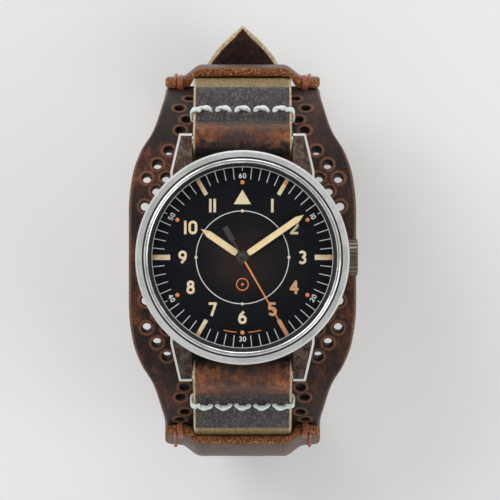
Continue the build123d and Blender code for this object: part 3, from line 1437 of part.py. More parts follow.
def buckle_frame():
    """The buckle's frame: two arms that carry the bar, and the front bar with a seat for the tongue."""
    inner = strap_width / 2 + frame_arm_gap
    outer = inner + frame_arm
    near, far = buckle_bar_y + 2 * buckle_bar_radius, front_bar_far
    top, low = keeper_out, keeper_out - front_bar_depth
    heel = buckle_bar_out - 1.3 * buckle_bar_radius
    arm = below([(near, heel), (front_bar_near, low), (far, low), (far, top), (front_bar_near, top),
                 (near, buckle_bar_out + 1.6 * buckle_bar_radius)])
    bar = below([(front_bar_near, low), (far, low), (far, top), (front_bar_near, top)])
    frame = side_plate(bar, -outer, outer)
    for x0, x1 in ((-outer, -inner), (inner, outer)):
        frame += side_plate(arm, x0, x1)
    corners = [edge for edge in frame.edges().filter_by(Axis.X) if edge.length > strap_width]
    frame = fillet(corners, frame_tip_radius)
    reach = inner + frame_arm / 2
    hole = frame_tip_radius + run_gap
    frame -= rod_x(hole, -reach, reach, strap_bottom - buckle_bar_out, buckle_bar_y)
    half = tongue_width / 2 + soft_gap
    seat = below([(front_bar_near + overrun, top - tongue_recess), (far - overrun, top - tongue_recess),
                  (far - overrun, top + overrun), (front_bar_near + overrun, top + overrun)])
    return frame - side_plate(seat, -half, half)


def buckle_bar():
    """The spring bar of the buckle."""
    half = strap_width / 2 + frame_arm_gap - run_gap
    return spring_bar(buckle_bar_radius, half, frame_tip_radius, frame_arm / 2, buckle_bar_y,
                      strap_bottom - buckle_bar_out)


def ribbon(points, half):
    """Corners on both sides of a line of (Y, out) points, half a thickness away."""
    left, right = [], []
    for index, (y, out) in enumerate(points):
        before = points[max(index - 1, 0)]
        after = points[min(index + 1, len(points) - 1)]
        run = hypot(after[0] - before[0], after[1] - before[1])
        across = (-(after[1] - before[1]) / run, (after[0] - before[0]) / run)
        left.append((y + half * across[0], out + half * across[1]))
        right.append((y - half * across[0], out - half * across[1]))
    return left + right[::-1]


def buckle_tongue():
    """The tongue: a ring round the buckle's bar, a bent shank through the strap, and a flat end."""
    axis_z = strap_bottom - buckle_bar_out
    half = tongue_width / 2
    ring_radius = buckle_bar_radius + run_gap + tongue_ring
    lying = keeper_out - tongue_thickness / 2 - seat_gap * 4
    reach = tongue_thickness / 2
    bend = tongue_middle - reach
    centre = [(buckle_bar_y - 1.2 * buckle_bar_radius, buckle_bar_out + 1.2 * buckle_bar_radius),
              (tongue_middle + reach, tail_in + reach), (tongue_middle, tail_out),
              (bend - reach, lying), (front_bar_far + 2 * seat_gap, lying)]
    shank = side_plate(below(ribbon(centre, reach)), -half, half)
    tongue = shank + rod_x(ring_radius, -half, half, axis_z, buckle_bar_y)
    return tongue - rod_x(buckle_bar_radius + run_gap, -strap_width, strap_width, axis_z, buckle_bar_y)


def keeper(y):
    """A leather loop round both straps."""
    inner = strap_width / 2 + 2 * soft_gap
    outer = inner + keeper_leather
    width = keeper_width / 2
    top = keeper_gap + keeper_leather
    loop = block(-outer, outer, y - width, y + width, strap_bottom - keeper_out, strap_bottom + top)
    corners = loop.edges().filter_by(Axis.Y)
    loop = fillet(corners, keeper_leather)
    return loop - block(-inner, inner, y - keeper_width, y + keeper_width, strap_bottom - keeper_in,
                        strap_bottom + keeper_gap)


nodes = {
    "case_body": case_body,
    "bezel": bezel,
    "crystal": crystal,
    "crystal_gasket": crystal_gasket,
    "rehaut": rehaut,
    "dial": dial,
    "caseback": caseback,
    "caseback_gasket": caseback_gasket,
    "movement_ring": movement_ring,
    "crown_tube": crown_tube,
    "spring_bar_12": lambda: lug_bar(1),
    "spring_bar_6": lambda: lug_bar(-1),
    "mainplate": mainplate,
    "barrel_bridge": barrel_bridge,
    "train_bridge": train_bridge,
    "balance_cock": balance_cock,
    "pallet_bridge": pallet_bridge,
    "movement_screws": movement_screws,
    "jewels": jewels,
    "barrel": barrel,
    "mainspring": mainspring,
    "centre_wheel": centre_wheel,
    "third_wheel": third_wheel,
    "fourth_wheel": fourth_wheel,
    "escape_wheel": escape_wheel,
    "pallet_fork": pallet_fork,
    "balance_wheel": balance_wheel,
    "hairspring": hairspring,
    "ratchet_wheel": ratchet_wheel,
    "crown_wheel": crown_wheel,
    "click": click,
    "winding_pinion": winding_pinion,
    "sliding_pinion": sliding_pinion,
    "stem": stem,
    "crown": crown,
    "crown_gasket": crown_gasket,
    "setting_lever": setting_lever,
    "yoke": yoke,
    "setting_wheel": setting_wheel,
    "cannon_pinion": cannon_pinion,
    "minute_wheel": minute_wheel,
    "hour_wheel": hour_wheel,
    "hour_hand": hour_hand,
    "minute_hand": minute_hand,
    "seconds_hand": seconds_hand,
    "leather_pad": leather_pad,
    "bridge_12": lambda: bridge_loop(pad_curve_12, pad_turn_12, pad_end_curve_12, 1),
    "bridge_6": lambda: bridge_loop(pad_curve_6, pad_turn_6, pad_end_curve_6, -1),
    "bridge_thread": lambda: Compound(
        children=bridge_thread(pad_curve_12, pad_turn_12, pad_end_curve_12, 1)
        + bridge_thread(pad_curve_6, pad_turn_6, pad_end_curve_6, -1)),
    "buckle_strap": buckle_strap,
    "tip_strap": tip_strap,
    "strap_thread_12": lambda: strap_thread(short_line, 1),
    "strap_thread_6": lambda: strap_thread(long_line, -1),
    "buckle_frame": buckle_frame,
    "buckle_bar": buckle_bar,
    "buckle_tongue": buckle_tongue,
    "fixed_keeper": lambda: keeper(fixed_keeper_y),
    "floating_keeper": lambda: keeper(floating_keeper_y),
}

os.makedirs("parts", exist_ok=True)
for name, make in nodes.items():
    export_step(make(), f"parts/{name}.step")
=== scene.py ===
from collections import namedtuple
from math import acos, asin, atan2, cos, degrees, hypot, pi, radians, sin, sqrt

import bmesh
import bpy
import numpy as np
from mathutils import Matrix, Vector, noise
from mathutils.geometry import delaunay_2d_cdt


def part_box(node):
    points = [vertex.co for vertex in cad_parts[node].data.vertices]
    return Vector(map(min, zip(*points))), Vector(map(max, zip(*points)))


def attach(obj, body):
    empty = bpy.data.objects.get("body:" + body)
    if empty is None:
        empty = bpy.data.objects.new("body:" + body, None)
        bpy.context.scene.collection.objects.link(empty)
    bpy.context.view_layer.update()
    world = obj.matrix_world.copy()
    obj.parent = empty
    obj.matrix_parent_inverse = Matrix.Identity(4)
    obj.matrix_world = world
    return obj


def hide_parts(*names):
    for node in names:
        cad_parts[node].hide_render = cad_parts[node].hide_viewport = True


# The looks of a pilot watch on a leather cuff strap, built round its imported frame.
# Lengths are in millimetres and are scaled to metres when a mesh, lamp or camera is made.
# The 12 and 6 sides are the two ends of the watch, by the dial's hours.

MM = 0.001
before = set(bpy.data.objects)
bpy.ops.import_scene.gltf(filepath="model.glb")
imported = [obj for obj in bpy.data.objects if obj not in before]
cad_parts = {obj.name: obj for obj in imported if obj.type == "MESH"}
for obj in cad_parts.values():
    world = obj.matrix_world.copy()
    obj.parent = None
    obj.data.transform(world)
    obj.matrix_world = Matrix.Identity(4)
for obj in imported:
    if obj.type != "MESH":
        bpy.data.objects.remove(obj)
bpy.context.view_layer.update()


def box_mm(node):
    """A CAD node's lowest and highest corners, in millimetres."""
    low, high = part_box(node)
    return low / MM, high / MM


# Sizes of the leather, as in the CAD
sides = {"12": 1, "6": -1}
leather = 2.0
soft_gap = 0.2
seat_gap = 0.02
leather_gap = 0.12
strap_half = box_mm("buckle_strap")[1].x
strap_corner = 0.9
cut_step = 0.9
corner_rows = 7
fine_share = 0.4
edge_room = 0.55
hole_room = 0.45
narrow_cut = 1.8
least_hole_corners = 14
hole_corners_per_mm = 18
ragged_scale = 1.9
ragged_layer = 5.0
flap_length = 19.0
flap_leather = 1.2
flap_join = 6.0
flap_skive = 2.4
flap_end_share = 0.22
strap_face = leather + flap_leather
fold_lean = 18.0
bar_hole = 0.93
fold_out = bar_hole + leather
bar_low, bar_high = box_mm("spring_bar_12")
bar = ((bar_low.y + bar_high.y) / 2, (bar_low.z + bar_high.z) / 2)

# Sizes of the cuff pad: its bends are a curve, that curve's turn and the curve of its end
pad_top = box_mm("leather_pad")[1].z
pad_leather = 2.5
pad_half_width = 22.6
pad_end_half_width = strap_half + 5.9
pad_flat = 9.6
pad_corner = 2.4
pad_rim_dip = 0.16
pad_rim_run = 2.6
pad_face_dip = 0.05
pad_bends = {"12": (25.0, 78.0, 45.0), "6": (26.2, 66.0, 50.0)}
pad_outline_shares = ((0.40, 1.0), (0.752, 0.886), (0.965, 0.653), (1.146, 0.319), (1.363, 0.103),
                      (1.52, 0.0))
pad_hole_radius = 0.85
pad_hole_shares = {
    "12": ((0.65, 0.942), (0.748, 0.819), (0.841, 0.695), (0.673, 0.699), (0.757, 0.584),
           (0.858, 0.447), (0.562, 1.327), (0.549, 1.124), (0.473, 1.416), (0.496, 1.221)),
    "6": ((0.664, 0.872), (0.752, 0.752), (0.841, 0.619), (0.66, 0.63), (0.745, 0.51),
          (0.85, 0.38), (0.549, 1.243), (0.513, 1.150), (0.558, 1.447), (0.513, 1.376))}

# Sizes of the bridges that hold the straps down on the pad's ends
bridge_strip = 9.0
bridge_leather = 1.9
bridge_corner = 1.3
bridge_rounding = 2.6
bridge_puff = 0.18
bridge_step = 0.5
bridge_top_edge = 12.7
bridge_top_slope = 4.4
bridge_low_edge = 11.3
bridge_low_slope = 2.0
bridge_puff_edge = 13.0
bridge_puff_slope = 4.0

# Sizes of the threads
thread_distance = 9.25
stitch_length = 2.6
stitch_gap = 1.2
stitch_count = 5
stitch_lean = 0.08
stitch_radius = 0.44
stitch_swell = 0.3
loop_radius = 0.3
loop_swell = 0.12
loop_places = (-0.2, 0.4)
bridge_stitch_count = 4
bridge_stitch_x = 13.6
bridge_stitch_radius = 0.36
whip_x = 12.55
whip_shifts = ((-0.2, 0.34), (0.24, 0.32))
thread_turns = 0.3
thread_plies = 2
thread_step = 0.16
thread_corners = 10
ply_share = 0.74
ply_offset = 0.28
ply_ends = {0: 0.55, 1: 0.85}

# A domed stitch: across from its middle, along, out from the flap's face, and the leans of the first two
stitch_dome = ((-1.4, 0.0, -0.7, 0, -1), (-1.25, 0.0, 0.0, 0, -1), (-0.75, 0.25, 0.3, 0, 0),
               (0.0, 0.42, 0.36, 1, 0), (0.75, 0.25, 0.3, 0, 0), (1.25, 0.0, 0.0, 0, 1),
               (1.4, 0.0, -0.7, 0, 1))

# A loop round a strap's edge: across from the edge, and out from the strap's inner face
edge_loop = ((-1.15, strap_face - 0.5), (-0.8, strap_face + 0.12), (-0.1, strap_face + 0.2),
             (0.30, strap_face - 0.35), (0.36, strap_face / 2 + 0.2), (0.30, 1.0), (0.0, 0.62), (-0.7, 0.7))

# A stitch on a bridge's wing: along, and out from its face
wing_face = bridge_leather + seat_gap
wing_stitch = ((-0.8, -0.5), (-0.62, 0.1), (-0.2, 0.3), (0.25, 0.3), (0.62, 0.1), (0.8, -0.5))

# A whip stitch over a bridge's near edge: across, along, and out from the pad's face
whip_stitch = ((0.0, 1.6, wing_face - 0.2), (0.0, 1.3, wing_face + 0.5), (-0.1, 0.4, wing_face + 0.55),
               (0.0, -0.25, wing_face + 0.1), (0.1, -0.42, wing_face - 0.9), (0.0, -0.3, 0.35),
               (0.0, 0.1, -0.4))

# Sizes of the buckle end
keeper_high = box_mm("fixed_keeper")[1]
keeper_leather = 1.28
keeper_gap = 0.1
keeper_corner = 0.35
keeper_corner_steps = 8
keeper_swell = 0.03
keeper_along = 60.0
strap_bottom = keeper_high.z - keeper_leather - keeper_gap
buckle_low, buckle_high = box_mm("buckle_bar")
buckle_bar_y = (buckle_low.y + buckle_high.y) / 2
buckle_hole = 0.73
skived = 0.9
skive_run = 4.5
buckle_bar_out = skived + buckle_hole
buckle_fold_out = buckle_bar_out + buckle_hole + skived
buckle_flap_end = 6.0
buckle_flap_taper = 4.0
buckle_flap_edge = 0.2
tail_lift = 1.8
tail_in = buckle_fold_out + leather_gap
tail_rise_turn = 13.0
tail_rise_curve = 12.0
tail_wrap_turn = 38.0
tail_straight = 19.5
tip_length = 17.0
tip_waist_share = 0.72
tip_waist_length_share = 0.52
tip_thin = 0.35
tip_thin_run = 3.0
tip_least = 0.25
tip_margin = 2.4
tip_fine = 3.2
tip_step = 0.25
tongue_hole_pitch = 6.5
tongue_hole_count = 5
tongue_hole_radius = 1.1
tongue_hole_length = 6.0
tongue_hole_first = -3.6
tongue_notch = 1.0
tongue_notch_reach = 3.26
lining_start = 4.0

# Rings inside a sheet's edge: distance in, share of the thickness lost on each face, edge mark
edge_profile = ((0.0, 0.42, 1.0), (0.12, 0.22, 1.0), (0.32, 0.07, 0.8), (0.66, 0.0, 0.0))
pad_edge = ((0.0, 0.36, 1.0), (0.14, 0.20, 1.0), (0.42, 0.06, 0.7), (0.85, 0.0, 0.1))
bridge_edge = ((0.0, 0.22, 1.0), (0.12, 0.10, 1.0), (0.32, 0.03, 0.55), (0.70, 0.0, 0.0))

# Rings round a hole: distance out, share of the thickness lost, hole mark, lift of the face
hole_profile = ((0.0, 0.26, 1.0, 0.0), (0.14, 0.08, 0.6, 0.0), (0.38, 0.0, 0.0, 0.0))
pad_hole_profile = ((0.0, 0.10, 1.0, -0.24), (0.12, 0.0, 0.5, -0.08), (0.32, 0.0, 0.0, 0.10),
                    (0.58, 0.0, 0.0, 0.06), (0.95, 0.0, 0.0, 0.0))

# Where the straps' colours change, along them from the flap's end
flap_patch = {"6": (13.4, 22.4), "12": (15.6, 21.6)}
bare_start = {"6": 43.3, "12": 44.6}
bare_length = 10.0
skive_end = (2.85, 2.6)

# Sizes of the dial, bezel and hands: a hand's lume has an angle, a width and a length
dial_top = box_mm("dial")[1].z
print_low = dial_top - 0.01
print_high = dial_top + 0.04
lume_high = dial_top + 0.09
numeral_radius = 11.75
numeral_height = 2.65
small_numeral_radius = 16.05
small_numeral_height = 1.0
triangle = ((0, 13.3), (-1.7, 10.45), (1.7, 10.45))
inner_circle_radius = 9.13
inner_circle_width = 0.14
inner_dot_radius = 0.3
track_radius = 17.8
track_width = 0.13
track_gap = 0.1
tick_length = 2.4
ten_tick_length = 0.75
tick_width = 0.145
bar_length = 3.6
bar_width = 0.8
wide_bar_width = 1.0
dot_place = 14.76
dot_radius = 0.4
arc_starts = (165.5, 184.5)
arc_sweep = 10.0
arc_width = 0.16
emblem_y = -5.3
emblem_radius = 1.15
emblem_width = 0.18
emblem_dot = 0.24
digit_half = 0.235
digit_rise = 0.415
digit_stroke = 0.185
digit_gap = 0.14
digit_end = 0.085
pen_corners = 12
dot_corners = 28
ring_corners = 180
emblem_corners = 48
arc_pitch = 3.0
bezel_groove = (19.4, 19.75)
hour_lume = (304.5, 1.5, 10.1)
minute_lume = (55.3, 1.4, 14.9)
seconds_angle = 150.0
hand_boss = 1.25
hand_rim = 0.1
hand_shoulder = 1.3
hand_neck = 1.6
hand_near = 0.55
hand_tip = 2.4
hand_lume_heights = (-0.02, 0.07)
cap_corners = 40
cap_rings = ((0.62, -0.02), (0.62, 0.1), (0.55, 0.17), (0.4, 0.21), (0.2, 0.225))

# The studio: the floor's reach is in metres, and a lamp has a place, a size, a power and a colour
floor_reach = 4.0
camera_place = (1.49, 1.45, 961.0)
camera_lens = 330.0
camera_sensor = 36.0
camera_clip = (0.05, 10.0)
lamp_aim = (0, 0, 40)
lamps = {"key": ((-420, 380, 620), 420, 2.1, (1.0, 0.985, 0.96)),
         "fill": ((520, -260, 480), 500, 1.2, (0.96, 0.98, 1.0)),
         "back": ((60, 640, 260), 360, 0.75, (1, 1, 1))}
room_colour = (0.98, 0.985, 1.0, 1)
room_levels = (0.55, 0.97, 0.85, 0.32)


# Materials


def srgb(red, green, blue):
    """A colour of 0 to 255 as the renderer's own linear values."""
    parts = [value / 255 for value in (red, green, blue)]
    return tuple(part / 12.92 if part <= 0.04045 else ((part + 0.055) / 1.055) ** 2.4
                 for part in parts) + (1.0,)


class Field:
    """A number, vector or colour that varies over a surface. Numbers can be added and multiplied."""

    def __init__(self, look, socket):
        self.look = look
        self.socket = socket

    def __add__(self, other):
        return self.look.math("ADD", self, other)

    def __radd__(self, other):
        return self.look.math("ADD", other, self)

    def __sub__(self, other):
        return self.look.math("SUBTRACT", self, other)

    def __rsub__(self, other):
        return self.look.math("SUBTRACT", other, self)

    def __mul__(self, other):
        return self.look.math("MULTIPLY", self, other)


class Look:
    """A procedural material on its piece's own coordinates, in millimetres."""

    def __init__(self, name, roughness=0.5, metallic=0.0, specular=None, colour=(128, 128, 128)):
        self.material = bpy.data.materials.new(name)
        self.material.use_nodes = True
        self.tree = self.material.node_tree
        self.shader = self.tree.nodes["Principled BSDF"]
        self.set("Base Color", srgb(*colour))
        self.set("Roughness", roughness)
        self.set("Metallic", metallic)
        if specular is not None:
            self.set("Specular IOR Level", specular)
        place = self.made("TexCoord", output="Object")
        self.place = self.made("VectorMath", [(0, place), ("Scale", 1 / MM)], operation="SCALE")

    def set(self, name, value):
        """Sets or links one socket of the shader."""
        self.feed(self.shader.inputs[name], value)

    def feed(self, socket, value):
        """Links a socket to a field, or sets it to a value."""
        if isinstance(value, Field):
            self.tree.links.new(value.socket, socket)
        else:
            socket.default_value = value

    def made(self, kind, inputs=(), output=0, **settings):
        """One output of a new node, from its settings and its inputs as (socket, value) pairs."""
        node = self.tree.nodes.new("ShaderNode" + kind)
        for name, value in settings.items():
            setattr(node, name, value)
        for socket, value in inputs:
            self.feed(node.inputs[socket], value)
        return Field(self, node.outputs[output])

    def vector(self, operation, first, second=(0, 0, 0)):
        """The result of a vector operation."""
        output = "Value" if operation in ("LENGTH", "DOT_PRODUCT") else 0
        return self.made("VectorMath", [(0, first), (1, second)], output, operation=operation)

    def math(self, operation, first, second=0.0):
        """The result of an operation on numbers."""
        return self.made("Math", [(0, first), (1, second)], operation=operation)

    def noise(self, scale, detail=3.0, roughness=0.55, stretch=(1, 1, 1), place=None):
        """Soft noise from 0 to 1 with features of one over scale millimetres."""
        place = self.vector("MULTIPLY", place or self.place, stretch)
        return self.made("TexNoise", [("Vector", place), ("Scale", scale), ("Detail", detail),
                                      ("Roughness", roughness)])

    def mottle(self, scale, detail=4.0, roughness=0.65, stretch=(1, 1, 1), low=0.38, high=0.62):
        """Noise with its middle values spread from 0 to 1, for strong patches."""
        return self.range(self.noise(scale, detail, roughness, stretch), low, high)

    def lines(self, scale, width, stretch=(1, 1, 1)):
        """Thin wandering lines, for creases and scratches."""
        level = self.math("ABSOLUTE", self.noise(scale, 2.0, 0.5, stretch) - 0.5)
        return self.range(level, 0.0, width, 1.0, 0.0)

    def ramp(self, value, stops):
        """A colour from a number, between (number, colour) stops."""
        node = self.tree.nodes.new("ShaderNodeValToRGB")
        elements = node.color_ramp.elements
        while len(elements) < len(stops):
            elements.new(0.5)
        for element, (position, colour) in zip(elements, stops):
            element.position = position
            element.color = srgb(*colour)
        self.feed(node.inputs[0], value)
        return Field(self, node.outputs["Color"])

    def range(self, value, low, high, start=0.0, end=1.0):
        """A number moved from one range to another, smoothly and held at its ends."""
        return self.made("MapRange", enumerate((value, low, high, start, end)),
                         interpolation_type="SMOOTHSTEP")

    def mix(self, share, first, second):
        """Two colours mixed."""
        first, second = (srgb(*value) if isinstance(value, tuple) else value for value in (first, second))
        return self.made("Mix", [(0, share), (6, first), (7, second)], 2, data_type="RGBA")

    def mark(self, name):
        """A number that the mesh carries at each of its points."""
        return self.made("Attribute", (), "Fac", attribute_name=name)

    def axis(self, index, vector=None):
        """One coordinate in millimetres."""
        return self.made("SeparateXYZ", [(0, vector or self.place)], index)

    def size(self, index):
        """One coordinate without its sign."""
        return self.math("ABSOLUTE", self.axis(index))

    def level(self):
        """The place as a vector from the hands' axis, without height."""
        return self.vector("MULTIPLY", self.place, (1, 1, 0))

    def radius(self):
        """The distance from the hands' axis."""
        return self.vector("LENGTH", self.level())

    def facing(self, index):
        """One part of the surface's direction, in the piece's own frame."""
        return self.axis(index, self.made("TexCoord", output="Normal"))

    def bump(self, height, depth):
        """Fine relief of a depth in millimetres."""
        self.set("Normal", self.made("Bump", [("Distance", depth * MM), ("Height", height)]))
        return self


# Finishes that follow one noise: its settings, two colours, a roughness or its range, relief, metal
flecked_looks = {
    "seal_rubber": ((5.0,), ((16, 16, 17), (30, 30, 31)), 0.7, 0.01, 0.0),
    "spacer": ((4.0,), ((96, 96, 98), (122, 122, 124)), 0.6, 0.01, 0.0),
    "brass_gilt": ((9.0, 3.0, 0.6, (1, 0.15, 1)), ((186, 150, 84), (222, 190, 120)),
                   (0.2, 0.8, 0.22, 0.36), 0.006, 1.0),
    "train_steel": ((2.0, 4.0), ((156, 160, 170), (200, 202, 208)), (0.3, 0.7, 0.12, 0.24), 0.003, 1.0),
    "blued_spring": ((1.5, 3.0), ((38, 52, 118), (66, 88, 160)), (0.3, 0.7, 0.2, 0.3), 0.0, 1.0),
    "ruby": ((1.2, 2.0), ((150, 14, 44), (196, 32, 70)), 0.08, 0.0, 0.0),
    "hand_black": ((4.0,), ((26, 24, 24), (66, 60, 58)), 0.32, 0.0, 0.6)}


def flecked(name):
    """One of the finishes that follow one noise."""
    settings, colours, roughness, depth, metallic = flecked_looks[name]
    look = Look(name, metallic=metallic)
    fleck = look.noise(*settings)
    look.set("Base Color", look.mix(fleck, *colours))
    look.set("Roughness", look.range(fleck, *roughness) if isinstance(roughness, tuple) else roughness)
    return look.bump(fleck, depth) if depth else look


def polished_steel():
    """Polished steel with faint hairlines."""
    look = Look("polished_steel", metallic=1.0)
    smudge = look.noise(0.35, 4.0)
    look.set("Roughness", look.range(smudge, 0.3, 0.75, 0.10, 0.2))
    look.set("Base Color", look.mix(smudge, (188, 187, 185), (214, 214, 212)))
    return look.bump(look.noise(3.0, 4.0, 0.7, (1, 1, 6)), 0.004)


def case_steel():
    """The case: bright on bevels and flanks; brushed, scratched and painted dark brown as shade on its lugs'
    tops and other faces that point up.
    """
    look = Look("case_steel", metallic=1.0)
    # Faces that point up: these get the dark brown tone, which is painted shade.
    top = look.range(look.facing(2), 0.76, 0.86)
    hair = look.mottle(7.0, 3.0, 0.6, (1.0, 0.05, 0.4))
    scratch = look.lines(0.5, 0.006, (3.2, 0.14, 1))
    # The painted dark brown shade of the upward faces, mottled; the brushing and scratches on it are real.
    tone = look.ramp(look.mottle(0.45, 5.0, 0.7), [(0.0, (62, 49, 43)), (0.5, (80, 66, 58)),
                                                   (1.0, (104, 89, 80))])
    tone = look.mix(hair * 0.35, tone, (44, 34, 29))
    tone = look.mix(scratch * 0.5, tone, (196, 186, 178))
    round_hair = look.mottle(5.0, 3.0, 0.6, (0.04, 0.04, 1.0))
    bright = look.mix(round_hair * 0.5, (222, 221, 218), (202, 201, 198))
    look.set("Base Color", look.mix(top, bright, tone))
    look.set("Roughness", top * 0.18 + hair * 0.06 + round_hair * 0.05 + 0.12)
    return look.bump(hair * top, 0.012)


def bezel_steel():
    """The bezel: a ring brushed in circles and a polished lip, with the narrow band between them painted
    dark as shade.
    """
    look = Look("bezel_steel", metallic=1.0)
    inner, outer = bezel_groove
    radius = look.radius()
    around = look.noise(1.0, 3.0, 0.6, place=look.made("CombineXYZ", [(0, radius * 14.0)]))
    around = look.range(around, 0.35, 0.65)
    ring = look.range(radius, outer - 0.02, outer + 0.06)
    # The narrow band between ring and lip, painted near black as shade.
    shaded_groove = look.range(radius, inner, inner + 0.05) * look.range(radius, outer, outer - 0.05)
    brushed = look.mix(around, (180, 181, 179), (238, 239, 237))
    worn = look.mottle(0.22, 4.0, 0.6) * look.range(look.facing(2), 0.8, 0.95, 0.0, 0.35)
    brushed = look.mix(worn, brushed, (146, 146, 142))
    lip = look.mix(look.mottle(0.4), (206, 205, 202), (228, 228, 226))
    look.set("Base Color", look.mix(shaded_groove * 0.9, look.mix(ring, lip, brushed), (40, 37, 36)))
    look.set("Roughness", ring * look.range(around, 0.0, 1.0, 0.24, 0.36) + 0.12)
    look.set("Metallic", 1.0 - ring * 0.3)
    look.set("Tangent", look.made("Tangent", direction_type="RADIAL", axis="Z"))
    look.set("Anisotropic", 0.6)
    return look.bump(around * ring, 0.01)


def gunmetal():
    """The crown's warm dark steel."""
    look = Look("gunmetal", metallic=1.0)
    wear = look.noise(2.2, 3.0, 0.6)
    look.set("Base Color", look.ramp(wear, [(0.3, (112, 99, 88)), (0.7, (134, 121, 110))]))
    look.set("Roughness", look.range(wear, 0.3, 0.8, 0.34, 0.26))
    return look.bump(look.noise(9.0, 2.0, 0.5, (0.1, 1.0, 1.0)), 0.002)


def buckle_steel():
    """Satin steel of the buckle, with the marks of wear."""
    look = Look("buckle_steel", metallic=1.0)
    hair = look.noise(7.0, 4.0, 0.7, (0.08, 1, 1))
    look.set("Base Color", look.mix(look.noise(0.5, 4.0), (150, 144, 136), (196, 193, 188)))
    look.set("Roughness", hair * 0.25 + 0.14)
    return look.bump(hair, 0.01)


def nickel():
    """Nickel of the plates and bridges, with plain straight stripes."""
    look = Look("movement_nickel", metallic=1.0)
    wave = look.math("SINE", look.axis(0) * (2 * pi / 1.6))
    grain = look.noise(10.0, 3.0, 0.6, (0.1, 1, 1))
    look.set("Base Color", look.mix(look.range(wave, -1.0, 1.0), (168, 165, 158), (206, 203, 197)))
    look.set("Roughness", look.range(grain, 0.2, 0.8, 0.2, 0.34))
    return look.bump(wave + grain * 0.3, 0.006)


def dial_black():
    """The dial: near black, warmer brown round its middle and darker towards its edge, with a fine grain."""
    look = Look("dial_black", specular=0.06)
    grain = look.noise(14.0, 2.0)
    share = (look.radius() + look.range(look.noise(0.16, 3.0), 0.3, 0.7, -1.6, 1.6)) * (1 / 18.5)
    tone = look.ramp(share, [(0.0, (44, 33, 29)), (0.2, (33, 26, 25)), (0.42, (15, 14, 17)),
                             (0.7, (7, 9, 14)), (1.0, (5, 7, 12))])
    look.set("Base Color", look.mix(grain * 0.06, tone, (46, 44, 46)))
    return look.bump(grain, 0.003)


def ring_black():
    """The satin black ring between dial and crystal."""
    look = Look("ring_black", roughness=0.4, specular=0.16)
    fleck = look.noise(6.0, 3.0)
    look.set("Base Color", look.mix(fleck * 0.3, (8, 8, 10), (30, 29, 30)))
    return look.bump(fleck, 0.008)


def glass():
    """The crystal: coated clear glass with faint reflections, which lets light through."""
    look = Look("glass", roughness=0.0, colour=(255, 255, 255))
    look.set("Transmission Weight", 1.0)
    look.set("IOR", 1.12)
    both = look.made("MixShader", [(0, look.made("LightPath", output="Is Shadow Ray")),
                                   (1, Field(look, look.shader.outputs[0])),
                                   (2, look.made("BsdfTransparent"))])
    look.feed(look.tree.nodes["Material Output"].inputs["Surface"], both)
    return look


def lume(name, pale, warm, start, end, aged=0.0):
    """Aged luminous paint, warm between two distances from the axis and, if aged, towards 4 and 5."""
    look = Look(name, roughness=0.72)
    grit = look.mottle(4.5, 3.0)
    blotch = look.mottle(0.5, 3.0)
    reach = look.radius() + look.range(blotch, 0.0, 1.0, -0.6, 0.6)
    tone = look.mix(look.range(reach, start, end), pale, warm)
    tone = look.mix(blotch * 0.3, tone, (200, 160, 112))
    if aged:
        heading = look.vector("NORMALIZE", look.level())
        toward = look.vector("DOT_PRODUCT", heading, (0.72, -0.69, 0))
        tone = look.mix(look.range(toward, 0.72, 0.97, 0.0, aged), tone, (176, 116, 66))
    look.set("Base Color", look.mix(grit * 0.3, tone, (172, 146, 112)))
    return look.bump(grit, 0.02)


def paint(name, colour, worn):
    """Printed paint, slightly mottled."""
    look = Look(name, roughness=0.55)
    grit = look.noise(5.0, 3.0)
    look.set("Base Color", look.mix(look.range(grit, 0.45, 0.85, 0.0, 0.6), colour, worn))
    return look.bump(grit, 0.01)


def seconds_paint():
    """The seconds hand: orange, with a dark tail."""
    look = Look("seconds_paint", roughness=0.4)
    along = look.vector("DOT_PRODUCT", look.place, (*dial_spot(1.0, seconds_angle), 0))
    fleck = look.noise(4.0)
    warm = look.mix(fleck, (178, 98, 42), (216, 142, 72))
    look.set("Base Color", look.mix(look.range(along, 0.9, 1.15), (44, 40, 38), warm))
    return look.bump(fleck, 0.01)


def hide_relief(look, coarse, fine, pores):
    """The relief of leather: soft creases, fine grain and pores."""
    cells = look.made("TexVoronoi", [("Vector", look.place), ("Scale", coarse)], "Distance",
                      feature="DISTANCE_TO_EDGE")
    pits = look.range(look.noise(pores, 2.0), 0.5, 0.62)
    return look.range(cells, 0.0, 0.25) * 0.45 + look.noise(fine, 4.0, 0.65) * 0.9 + pits * -0.25


